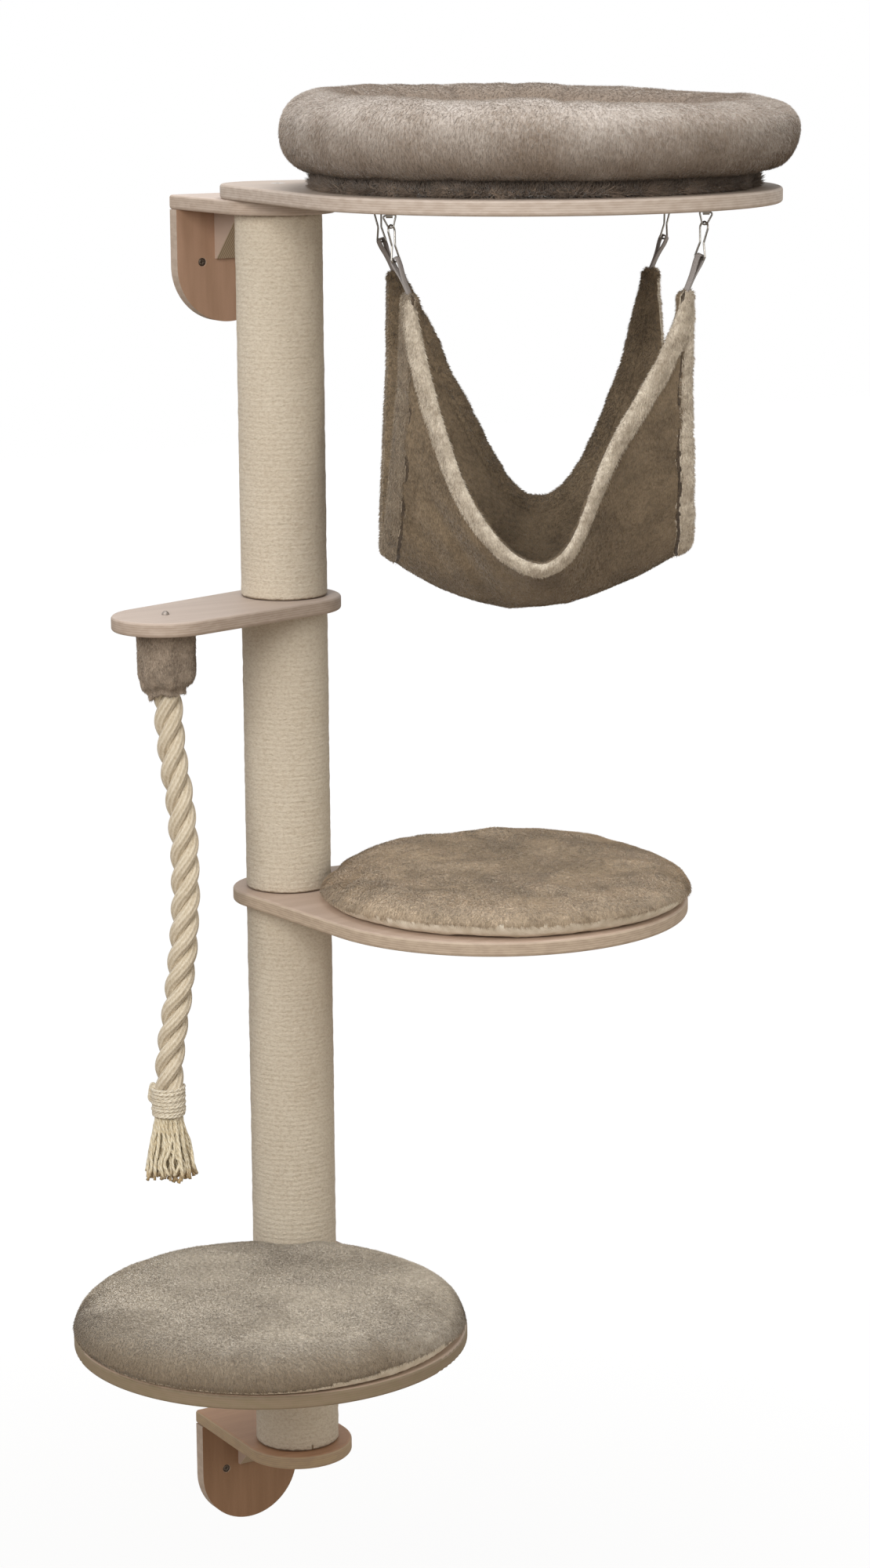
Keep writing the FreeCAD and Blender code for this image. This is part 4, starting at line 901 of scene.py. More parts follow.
@dataclass
class Boards:
    """All plywood: two wall brackets and the four boards of the post."""

    # Board name with face, grain and edge colours of the one birch plywood; they differ as painted
    # light and shade: the lower bracket darker, lit less from above, and the low shelf's edge painted
    # with the shadow of the cushion over it.
    lit_and_shaded_tones: tuple[tuple[str, Colour, Colour, Colour], ...] = (
        ("lower_bracket_board", (0.50, 0.30, 0.18), (0.38, 0.21, 0.12), (0.46, 0.34, 0.21)),
        ("low_shelf", (0.62, 0.50, 0.41), (0.50, 0.385, 0.30), (0.24, 0.19, 0.115)),
        ("mid_shelf", (0.60, 0.475, 0.39), (0.48, 0.36, 0.28), (0.54, 0.435, 0.33)),
        ("rope_board", (0.60, 0.505, 0.44), (0.49, 0.395, 0.33), (0.49, 0.40, 0.33)),
        ("top_shelf", (0.56, 0.47, 0.40), (0.46, 0.375, 0.31), (0.54, 0.46, 0.395)),
    )

    def build(self) -> None:
        """Dresses the boards, plates and gussets."""
        lit_and_shaded_tones = {node: dict(zip(("face", "grain", "edge"), shades)) for node, *shades in self.lit_and_shaded_tones}
        for node in ("lower_bracket_board", "upper_bracket_board", *TURNS):
            turn = math.radians(TURNS.get(node, BRACKET_TURN))
            finish = Plywood(node + "_ply", foot_of(node), turn, **lit_and_shaded_tones.get(node, {}))
            dress_node(node, finish.material())
        # The wall plates take darker copies of the plywood: painted shade on the upright faces under
        # the boards, more on the lower one.
        for side, face, grain in (("lower", (0.32, 0.185, 0.105), (0.22, 0.12, 0.06)),
                                  ("upper", (0.43, 0.27, 0.185), (0.31, 0.19, 0.12))):
            plate = Plywood(side + "_plate_ply", -BOARD, upright=True, face=face, grain=grain)
            dress_node(side + "_wall_plate", plate.material())
            dress_node(side + "_gusset", self.gusset_finish(side))
        log.info("boards dressed")

    def gusset_finish(self, side: str) -> bpy.types.Material:
        """Plywood glued up sideways: the plies run across the gusset's width."""
        g = Graph(side + "_gusset_ply")
        place = g.add("ShaderNodeTexCoord")
        across = g.part(place.outputs["Object"], "X")
        plies = (across * (math.pi * 13.0 / BOARD)).sine().between(-0.1, 0.6)
        facing = g.part(place.outputs["Normal"], "X").absolute().between(0.6, 0.85)
        veins = g.cloud(g.coordinates((40.0, 4.0, 40.0)), 1.0, 4.0, 0.6)
        edge = g.mix(plies * 0.8 + veins * 0.2, (0.55, 0.45, 0.33), (0.25, 0.19, 0.12))
        face = g.mix(veins, (0.42, 0.31, 0.25), (0.52, 0.42, 0.35))
        return g.finish(g.mix(facing, edge, face), 0.6, g.bump(veins, 0.1 * MM, 0.5))


@dataclass
class Post:
    """Sisal covers of the four post sections."""

    radius: float = 0.057
    core: float = 0.05
    seam: float = math.radians(62.0)
    nick: float = math.radians(-97.5)
    columns: int = 144
    rows: int = 64

    def build(self) -> None:
        """Builds the covers and dresses what they hide."""
        core = InnerWood("core_board", (0.50, 0.38, 0.25), (0.34, 0.25, 0.16)).material()
        beech = InnerWood("beech", (0.62, 0.47, 0.30), (0.48, 0.34, 0.21)).material()
        steel = Metal("zinc_plate", (0.62, 0.62, 0.60), 0.35).material()
        for index in range(1, 5):
            self.cover(index)
            dress_node("post_tube_%d" % index, core)
        for node in ("tube_end_discs", "lower_dowels", "upper_dowels", "rope_anchor_block"):
            dress_node(node, beech)
        dress_node("rope_anchor_screw", Metal("dull_steel", (0.34, 0.30, 0.27), 0.5).material())
        for node in ("threaded_inserts", "joining_studs", "end_bolts", "lower_gusset_screws",
                     "upper_gusset_screws", "hanger_screws"):
            dress_node(node, steel)
        log.info("post covered")

    def cover(self, index: int) -> None:
        """One mat, wrapped from seam to seam, with ragged turned ends."""
        node = "sisal_cover_%d" % index
        low, high = foot_of(node), top_of(node)
        slit = 0.02 * MM / self.radius
        columns = []
        for step in range(self.columns + 1):
            angle = self.seam + slit + (math.tau - 2 * slit) * step / self.columns
            columns.append(self.column(index, angle, low, high))
        piece = new_piece(node + "_mat", surface(node + "_mat", columns), Body.TREE)
        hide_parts(node)
        front = (self.radius * math.cos(self.nick), POST_AXIS.y + self.radius * math.sin(self.nick))
        finish = Sisal(node + "_sisal", low, high, front if index == 1 else None)
        dress(piece, finish.material())

    def column(self, index: int, angle: float, low: float, high: float) -> list[Vector]:
        """Closed section of the mat at one angle."""
        way = heading(angle)

        def at(radius: float, z: float) -> Vector:
            """A point of the section."""
            return POST_AXIS + way * radius + Vector((0.0, 0.0, z))

        ragged = way * 0.2 + Vector((0.0, 0.0, index))
        start = low + MM * (0.6 + 0.9 * abs(rough(ragged, 0.012)) + 0.6 * abs(rough(ragged, 0.004)))
        end = high - MM * (0.3 + 0.6 * abs(rough(ragged, 0.015, 3.0)))
        ring = [at(self.core + 0.0005, start), at(self.radius - 0.0022, start)]
        ring.append(at(self.radius - 0.0008, start + 0.0006))
        for row in range(self.rows + 1):
            z = start + 0.002 + (end - start - 0.004) * row / self.rows
            spot = at(self.radius, z)
            relief = 0.6 * rough(spot, 0.006, index) + 0.4 * rough(spot, 0.02, index)
            ring.append(at(self.radius - 0.0003 + relief * MM, z))
        ring.append(at(self.radius - 0.0008, end - 0.0006))
        ring.append(at(self.radius - 0.0022, end))
        ring.append(at(self.core + 0.0005, end))
        return ring


@dataclass
class WallScrews:
    """Countersunk screws in the wall plates' holes."""

    spacing: float = 0.038
    heights: tuple[float, float] = (0.0, 1.701)
    head: float = 0.0054
    sides: int = 32

    def build(self) -> None:
        """Builds the four heads with their cross recess and shanks."""
        steel = Metal("wall_screw_steel", (0.13, 0.105, 0.085), 0.5).material()
        meshes = []
        for height in self.heights:
            for side in (-1, 1):
                meshes.append(self.screw(Vector((side * self.spacing, -BOARD, height))))
        piece = new_piece("wall_screws", join("wall_screws", meshes), Body.TREE)
        dress(piece, steel)

    def screw(self, mouth: Vector) -> bpy.types.Mesh:
        """One screw that fills its countersink, with a four-lobed recess."""
        profile = ((0.0009, 0.0031), (0.0011, 0.0009), (0.0022, 0.0004), (self.head, 0.0005))
        profile += ((0.0027, 0.0033), (0.0027, 0.0189), (0.0005, 0.0189))
        rows = []
        for row, (radius, depth) in enumerate(profile):
            ring = []
            for angle in full_turn(self.sides):
                lobes = 0.45 * math.cos(4 * angle) if row in (1, 2) else 0.0
                reach = radius * (1.0 + lobes)
                place = (math.cos(angle) * reach, depth, math.sin(angle) * reach)
                ring.append(mouth + Vector(place))
            rows.append(ring)
        return surface("screw", rows)


# ------------------------------------------------------------------ cushions and bed


def cushion_shares(inner: float, steps: int) -> list[tuple[int, float]]:
    """Halves and shares of the radius of a cushion's rings.

    Args:
        inner: Share of the radius at the innermost ring.
        steps: Number of steps from there to the rim.

    Returns:
        1 with each share over the top, outwards, then -1 with each share below, inwards.
    """
    shares = [inner + (1.0 - inner) * step / steps for step in range(steps + 1)]
    return [(1, share) for share in shares] + [(-1, share) for share in reversed(shares)]


@dataclass
class ShelfCushion:
    """Round plush cushion of a shelf, drawn in round the post, with a cotton underside."""

    node: str
    shelf: str
    radius: float
    high: float
    crown: float
    creases: float
    waves: float
    seed: float
    lifted: float
    lift: float
    lift_wide: float
    finish: Fur
    hump: float = 0.0
    brush: tuple[float, float, float] = (-0.35, -0.9, -0.6)
    clear: float = 0.0615

    def build(self) -> None:
        """Builds, swells and dresses the cushion."""
        centre = on_board(self.shelf, SHELF_REACH, top_of(self.shelf))
        mesh = surface(self.node + "_plush", self.rings(centre))
        piece = new_piece(self.node + "_plush", mesh, Body.TREE)
        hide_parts(self.node)
        swell(piece, 0.0055, 3.0, 0.0025)
        self.shape(piece, centre)
        dress(piece, self.finish.material(), Lining(self.node + "_lining").material())
        self.line_underside(piece, centre)
        for half in range(2):
            seed = int(self.seed) + half
            pile = Pile(46000, 0.0052, 0.00042, self.brush, 0.4, 1.0, 7.0, seed)
            pile.cover(piece, Body.TREE, Slot.FUR, half)
        log.info("%s has %d faces", piece.name, len(piece.data.polygons))

    def rim(self, centre: Vector, angle: float) -> float:
        """Distance of the rim from the centre, less where the post dents it."""
        way = heading(angle)
        to_post = Vector((POST_AXIS.x - centre.x, POST_AXIS.y - centre.y, 0.0))
        along = to_post.dot(way)
        aside = to_post.length_squared - along**2
        if along <= 0 or aside >= self.clear**2:
            return self.radius
        return min(self.radius, along - math.sqrt(self.clear**2 - aside))

    def seam_height(self, angle: float) -> float:
        """Height of the rim's seam over the shelf, lifted where the lining shows."""
        off = (angle - math.radians(self.lifted) + math.pi) % math.tau - math.pi
        return self.high * (0.14 + self.lift * math.exp(-((off / self.lift_wide) ** 2)))

    def rings(self, centre: Vector) -> Rows:
        """Rings of the cushion from the top's middle over the rim to the underside."""
        rows = []
        for half, share in cushion_shares(0.02, 26):
            ring = []
            for angle in full_turn(160):
                reach = self.rim(centre, angle) - 0.001
                middle = self.seam_height(angle)
                if half > 0:
                    lift = (self.high * 0.93 - middle) * (1.0 - share**6.0) ** 0.40
                else:
                    lift = -middle * (1.0 - share**30.0) ** 0.5
                spot = heading(angle) * (reach * share)
                ring.append(centre + spot + Vector((0.0, 0.0, middle + lift + 0.0012)))
            rows.append(ring)
        return rows

    def shape(self, piece: bpy.types.Object, centre: Vector) -> None:
        """Adds the crown, the creases and the wavy rim, and keeps the underside flat."""
        for vertex in piece.data.vertices:
            spot = vertex.co - centre
            out = math.hypot(spot.x, spot.y) / self.radius
            share = max(0.0, min(1.0, spot.z / self.high))
            lift = self.crown * max(0.0, 1.0 - out**2) * share
            crease = folds(vertex.co, 0.13, self.seed) ** 3 + 0.6 * folds(vertex.co, 0.06, self.seed)
            lift += self.creases * crease * share * max(0.0, 1.0 - out**6)
            lift += self.waves * rough(vertex.co, 0.16, self.seed + 2.0) * share
            rear = max(0.0, (spot.x * 0.512 + spot.y * 0.859) / self.radius)
            lift += self.hump * share * rear**1.5 * (0.8 + 0.5 * rough(vertex.co, 0.07, self.seed))
            flat = Vector((spot.x, spot.y, 0.0))
            sway = self.waves * 0.9 * rough(flat.normalized(), 0.45, self.seed) * out**4
            vertex.co += flat.normalized() * sway + Vector((0.0, 0.0, lift))
            vertex.co.z = max(vertex.co.z, centre.z + 0.0006)

    def line_underside(self, piece: bpy.types.Object, centre: Vector) -> None:
        """Gives the faces below the seam the cotton lining."""
        for polygon in piece.data.polygons:
            angle = math.atan2(polygon.center.y - centre.y, polygon.center.x - centre.x)
            low = polygon.center.z - centre.z < self.seam_height(angle)
            polygon.material_index = 1 if low else 0
            polygon.use_smooth = True


@dataclass
class RoundBed:
    """Round bed on the top shelf: skirted base, stuffed bolster and loose cushion."""

    centre: Vector
    ring: float = 0.2655
    half_width: float = 0.0575
    half_high: float = 0.0515
    base_high: float = 0.020
    base_radius: float = 0.275
    cushion_high: float = 0.036
    cushion_radius: float = 0.197
    shift: float = 0.005
    ahead: Vector = Vector((-0.512, -0.859, 0.0))
    right: Vector = Vector((0.859, -0.512, 0.0))
    # Painted shade: darker towards the bolster's foot, and a painted darker zone inside the bolster
    # ring, where the bed is hollow.
    fur: Fur = Fur("bed_plush", (0.57, 0.52, 0.475), (0.25, 0.195, 0.15), patch=0.08,
                   foot=(1.841, 1.924), foot_painted_shade=0.95,
                   brushed=BrushedAndShaded((0.2108, -0.4590), 0.275, 0.255, 0.95, wander=0.004))

    def build(self) -> None:
        """Builds the three pieces."""
        self.bolster()
        self.base()
        self.cushion()
        log.info("bed built")

    def bolster(self) -> None:
        """Ring of plush, pleated on its inner side."""
        rows = []
        pleats = self.pleat_places()
        for angle in full_turn(288):
            pleat = max(math.exp(-(((angle - at + math.pi) % math.tau - math.pi) / 0.028) ** 2) * deep
                        for at, deep in pleats)
            rows.append(self.bolster_ring(heading(angle), pleat))
        mesh = surface("bed_bolster_plush", rows, wrap_rows=True)
        piece = new_piece("bed_bolster_plush", mesh, Body.TREE)
        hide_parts("bed_bolster")
        swell(piece, 0.0065, 3.0, 0.004)
        self.relief(piece)
        dress(piece, self.fur.material())
        for half in range(2):
            pile = Pile(47000, 0.0056, 0.00042, stand=0.4, wander=0.7, swirl=9.0, seed=3 + half)
            pile.cover(piece, Body.TREE, Slot.FUR, half)

    def pleat_places(self) -> list[tuple[float, float]]:
        """Angle and depth of each pleat."""
        draw = random.Random(7)
        count = 17
        places = []
        for index in range(count):
            angle = math.tau * (index + 0.6 * draw.random()) / count
            places.append((angle, draw.uniform(0.5, 1.0)))
        return places

    def bolster_ring(self, way: Vector, pleat: float) -> list[Vector]:
        """One section of the bolster, flattened below."""
        ring = []
        for angle in full_turn(64):
            cosine, sine = math.cos(angle), math.sin(angle)
            wide = squarish(cosine, 0.86) * self.half_width
            tall = squarish(sine, 0.86) * self.half_high
            inner = max(0.0, -cosine * 0.8 + 0.25) * max(0.0, sine * 0.7 + 0.45)
            shrink = 1.0 - 0.27 * pleat * min(1.0, inner * 1.3)
            out = self.ring + wide * shrink
            spot = self.centre + self.right * self.shift + way * out
            spot.z = self.centre.z + self.base_high + self.half_high + 0.001 + tall * shrink
            ring.append(spot)
        return ring

    def relief(self, piece: bpy.types.Object) -> None:
        """Soft dents all over and a slightly wavy top."""
        middle = self.centre.z + self.base_high + self.half_high
        for vertex in piece.data.vertices:
            flat = vertex.co - self.centre - self.right * self.shift
            flat.z = 0.0
            core = self.centre + self.right * self.shift + flat.normalized() * self.ring
            core.z = middle
            out = (vertex.co - core).normalized()
            dent = 0.0026 * rough(vertex.co, 0.10, 1.0) + 0.0014 * rough(vertex.co, 0.035, 4.0)
            way = flat.normalized()
            sunk = 0.003 + 0.006 * max(0.0, way.dot(self.ahead))
            sunk += 0.013 * max(0.0, way.dot(self.right))
            rise = (0.003 * rough(core, 0.12, 9.0) - sunk) * max(0.0, out.z)
            vertex.co += out * dent + Vector((0.0, 0.0, rise))
            vertex.co.z = max(vertex.co.z, self.centre.z + self.base_high + 0.0008)

    def base(self) -> None:
        """Flat plush base whose gathered edge shows under the bolster."""
        rows = []
        profile = ((0.05, 0.0007), (0.97, 0.0007), (1.0, 0.004), (1.004, 0.011), (0.992, 0.0175))
        profile += ((0.96, 0.0197), (0.05, 0.0197))
        for share, lift in profile:
            ring = []
            for way in map(heading, full_turn(240)):
                gather = rough(way, 0.035, 5.0) * 0.6 + rough(way, 0.12, 2.0)
                edge = 0.0065 * gather if share > 0.9 else 0.0
                spot = self.centre + way * (self.base_radius * share + edge)
                spot.z = self.centre.z + lift
                ring.append(spot)
            rows.append(ring)
        piece = new_piece("bed_base_plush", surface("bed_base_plush", rows), Body.TREE)
        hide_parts("bed_base")
        # Painted shade: the base takes a much darker copy of the plush, for the shade under the
        # bolster.
        finish = Fur("bed_base_plush", (0.29, 0.22, 0.165), (0.09, 0.065, 0.047), patch=0.03).material()
        dress(piece, finish, finish)
        for polygon in piece.data.polygons:
            flat = polygon.center - self.centre
            out = math.hypot(flat.x, flat.y) / self.base_radius
            polygon.material_index = 0 if out > 0.955 else 1
        pile = Pile(22000, 0.011, 0.0006, (0.0, 0.0, 0.5), 1.1, 1.4, 30.0, 5)
        pile.cover(piece, Body.TREE, Slot.FUR)

    def cushion(self) -> None:
        """Loose cushion on the bed's floor."""
        high = self.cushion_high
        rows = []
        for half, share in cushion_shares(0.03, 20):
            ring = []
            bulge = (1.0 - share**4.0) ** 0.45
            lift = 0.4 * high + (0.58 * high * bulge if half > 0 else -0.4 * high * bulge)
            for angle in full_turn(128):
                spot = self.centre + heading(angle) * (self.cushion_radius * share)
                dent = 0.002 * rough(spot, 0.07, 3.0) * bulge if half > 0 else 0.0
                spot.z = self.centre.z + self.base_high + 0.0008 + max(0.0, lift + dent - 0.0015)
                ring.append(spot)
            rows.append(ring)
        mesh = surface("bed_cushion_plush", rows)
        piece = new_piece("bed_cushion_plush", mesh, Body.TREE)
        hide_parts("bed_cushion")
        dress(piece, self.fur.material())


# ------------------------------------------------------------------ rope toy


@dataclass
class RopeToy:
    """Three-strand rope that hangs out of a plush cuff and ends in a whipped tassel."""

    anchor: Vector
    block_high: float = 0.060
    diameter: float = 0.038
    lay: float = 0.1065
    step: float = 0.0035
    route: tuple[tuple[float, float], ...] = (
        (0.0, 0.0),
        (0.0, 0.075),
        (0.0175, 0.190),
        (0.0185, 0.310),
        (0.0065, 0.425),
        (-0.0105, 0.520),
        (-0.0105, 0.590),
    )
    side_turn: float = math.radians(-31.0)

    def build(self) -> None:
        """Builds the rope, its whipping, tassel and cuff."""
        line = self.centre_line()
        rope = self.rope(line)
        whipping = self.whipping(line[-1])
        tassel = self.tassel(line[-1])
        length = sum((b - a).length for a, b in zip(line, line[1:]))
        log.info("rope length %.4f", length)
        self.cuff()

    def centre_line(self) -> list[Vector]:
        """The rope's middle line, read from its NURBS route."""
        start = self.anchor - Vector((0.0, 0.0, self.block_high))
        across = heading(self.side_turn)
        curve = bpy.data.curves.new("rope_route", "CURVE")
        curve.dimensions = "3D"
        spline = curve.splines.new("NURBS")
        spline.points.add(len(self.route) - 1)
        for point, (right, down) in zip(spline.points, self.route):
            point.co = (*(start + across * right - Vector((0.0, 0.0, down))), 1.0)
        spline.order_u = 3
        spline.use_endpoint_u = True
        spline.resolution_u = 24
        holder = link("rope_route", curve)
        line = [vertex.co.copy() for vertex in evaluated(holder).vertices]
        bpy.data.objects.remove(holder)
        return line

    def even(self, line: Sequence[Vector], step: float) -> list[Vector]:
        """The same line in equal steps."""
        result = [line[0].copy()]
        left = step
        for before, after in zip(line, line[1:]):
            stretch = (after - before).length
            place = 0.0
            while stretch - place >= left:
                place += left
                result.append(before.lerp(after, place / stretch))
                left = step
            left -= stretch - place
        result.append(line[-1].copy())
        return result

    def rope(self, line: Sequence[Vector]) -> bpy.types.Object:
        """Three strands laid round each other."""
        points = self.even(line, self.step)
        low = line[0].z - 0.001 - self.diameter / 2
        strand = self.diameter / 2 / (1 + 2 / math.sqrt(3)) * 1.04
        helix = self.diameter / 2 - strand
        meshes = []
        for number in range(3):
            middle = []
            shares = []
            for index, (point, side, up) in enumerate(frames_along(points)):
                angle = math.tau * (number / 3 + index * self.step / self.lay)
                above = max(0.0, min(0.995, (point.z - low) / (self.diameter / 2)))
                shares.append(math.sqrt(1.0 - above**2))
                out = (side * math.cos(angle) + up * math.sin(angle)) * (helix * shares[-1])
                middle.append(point + out)
            seed = number * 3.1

            def radius(index: int, angle: float, seed: float = seed,
                       shares: Sequence[float] = shares) -> float:
                """Uneven thickness of a strand, drawn in under the block."""
                return shares[index] * strand * (1.0 + 0.03 * math.sin(index * 0.13 + seed)
                                                 + 0.02 * math.sin(9 * angle + index * 0.35))

            meshes.append(surface("strand", tube_rows(middle, radius, 40)))
        piece = new_piece("rope_strands", join("rope_strands", meshes), Body.ROPE)
        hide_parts("rope")
        finish = Yarn("rope_yarn", (0.78, 0.70, 0.56), (0.48, 0.39, 0.26), yarns=9.0, twist=-150.0)
        dress(piece, finish.material())
        return piece

    def whipping(self, end: Vector) -> bpy.types.Object:
        """Band of thin yarn wound round the rope's end, with its loose knot."""
        draw = random.Random(11)
        meshes = []
        turns = 13
        for layer, (reach, thick) in enumerate(((0.0195, 0.0022), (0.0206, 0.0021))):
            points = []
            for step in range(turns * 28):
                angle = math.tau * step / 28
                climb = 0.0025 + 0.037 * step / (turns * 28)
                wander = 0.0012 * math.sin(angle * 0.37 + layer * 2.0)
                out = reach + 0.0006 * math.sin(angle * 1.7 + layer)
                points.append(end + Vector((math.cos(angle) * out, math.sin(angle) * out,
                                            climb + wander)))
            meshes.append(surface("turn", tube_rows(points, lambda i, a: thick, 8)))
        left = -heading(self.side_turn)
        for index in range(5):
            lift = 0.036 + 0.004 * draw.random()
            loop = []
            for step in range(15):
                angle = math.pi * 1.6 * step / 14
                swing = 0.0035 + 0.0022 * index / 4
                out = 0.0200 + swing * math.sin(angle)
                loop.append(end + left * out + Vector((0.0, 0.0, lift - 0.011 * math.cos(angle) * 0.6
                                                       - index * 0.003)))
            meshes.append(surface("knot", tube_rows(loop, lambda i, a: 0.0019, 8)))
        mesh = join("rope_whipping_yarn", meshes)
        piece = new_piece("rope_whipping_yarn", mesh, Body.ROPE)
        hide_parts("rope_whipping")
        finish = Yarn("whipping_yarn", (0.84, 0.78, 0.65), (0.55, 0.46, 0.32), yarns=3.0, twist=900)
        dress(piece, finish.material())
        return piece

    def tassel(self, end: Vector) -> bpy.types.Object:
        """Loose strands below the whipping, with brown cut ends."""
        draw = random.Random(23)
        meshes = []
        golden = math.pi * (3.0 - math.sqrt(5.0))
        count = 96
        for index in range(count):
            share = math.sqrt((index + 0.5) / count)
            angle = golden * index
            way = heading(angle)
            reach = 0.0165 * share
            flare = (0.0345 + draw.uniform(-0.004, 0.001)) * share
            fall = draw.uniform(0.078, 0.0905) - 0.006 * share
            bend = draw.uniform(-0.009, 0.009)
            sideways = Vector((-way.y, way.x, 0.0))
            knots = (
                end + way * reach + Vector((0.0, 0.0, 0.001)),
                end + way * (reach * 1.15 + 0.001) - Vector((0.0, 0.0, fall * 0.20)),
                end + way * (reach * 0.3 + flare * 0.62) + sideways * bend
                - Vector((0.0, 0.0, fall * 0.5)),
                end + way * (reach * 0.1 + flare * 0.86) - sideways * bend * 0.4
                - Vector((0.0, 0.0, fall * 0.78)),
                end + way * flare + sideways * bend * 0.8 - Vector((0.0, 0.0, fall)),
            )
            thick = draw.uniform(0.0018, 0.0025)
            points = smooth_line(knots, 4)
            rows = tube_rows(points, lambda i, a, t=thick: t * (1.0 + 0.1 * math.sin(i * 2.0)), 7)
            meshes.append(surface("strand", rows))
        mesh = join("rope_tassel_strands", meshes)
        piece = new_piece("rope_tassel_strands", mesh, Body.ROPE)
        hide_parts("rope_tassel")
        finish = Yarn("tassel_yarn", (0.90, 0.83, 0.65), (0.58, 0.47, 0.29), yarns=2.0, twist=700,
                      tip=(0.42, 0.27, 0.10), tip_high=end.z - 0.074)
        dress(piece, finish.material())
        return piece

    def cuff(self) -> None:
        """Plush sleeve, straight round the block and gathered on to the rope."""
        profile = ((0.0345, -0.0005), (0.0368, -0.0005), (0.0375, 0.012), (0.0370, 0.030),
                   (0.0374, 0.048), (0.0366, 0.060), (0.0325, 0.069), (0.0262, 0.0745),
                   (0.0236, 0.079), (0.0240, 0.083), (0.0205, 0.083), (0.0200, 0.079),
                   (0.0205, 0.074), (0.0260, 0.0685), (0.0345, 0.0575), (0.0346, 0.03))
        smooth = smooth_line([(r, 0.0, d) for r, d in profile], 4)
        rows = []
        for spot in smooth:
            ring = []
            low = max(0.0, min(1.0, (spot.z - 0.012) / 0.055))
            for angle in full_turn(120):
                way = heading(angle)
                pleat = 0.6 * math.sin(9 * angle + 2.0 * math.sin(2 * angle)) + rough(way, 0.3, 2.0)
                fold = 0.0021 * low * pleat + 0.0010 * rough(way * 0.1 + Vector((0, 0, spot.z)), 0.02)
                lobe = max(0.0, way.dot(Vector((-0.966, 0.259, 0.0)))) ** 3
                hang = low * (0.006 * rough(way, 0.4, 6.0) + 0.007 * lobe - 0.002)
                hang = hang if spot.z > 0.066 else 0.0
                outside = 1.0 if spot.x > 0.0346 or (spot.x > 0.0208 and spot.z > 0.07) else 0.3
                reach = spot.x + max(fold, -0.0012) * outside
                ring.append(self.anchor + way * reach - Vector((0.0, 0.0, max(0.0006, spot.z + hang))))
            rows.append(ring)
        finish = Fur("cuff_plush", (0.46, 0.375, 0.295), (0.20, 0.155, 0.115), patch=0.02).material()
        ground = link("cuff_ground", surface("cuff_ground", rows, wrap_rows=True))
        dress(ground, finish)
        nap = Pile(16000, 0.0036, 0.0004, wander=1.2, swirl=40.0, seed=29).grow(ground, finish)
        mesh = join("rope_cuff_plush", [ground.data, nap])
        bpy.data.objects.remove(ground)
        piece = link("rope_cuff_plush", mesh)
        dress(piece, finish)
        top, bottom = self.anchor.copy(), self.anchor.copy()
        top.z -= self.block_high - 0.006
        bottom.z -= 0.096
        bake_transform(piece)
        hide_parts("rope_cuff")


# ------------------------------------------------------------------ hammock


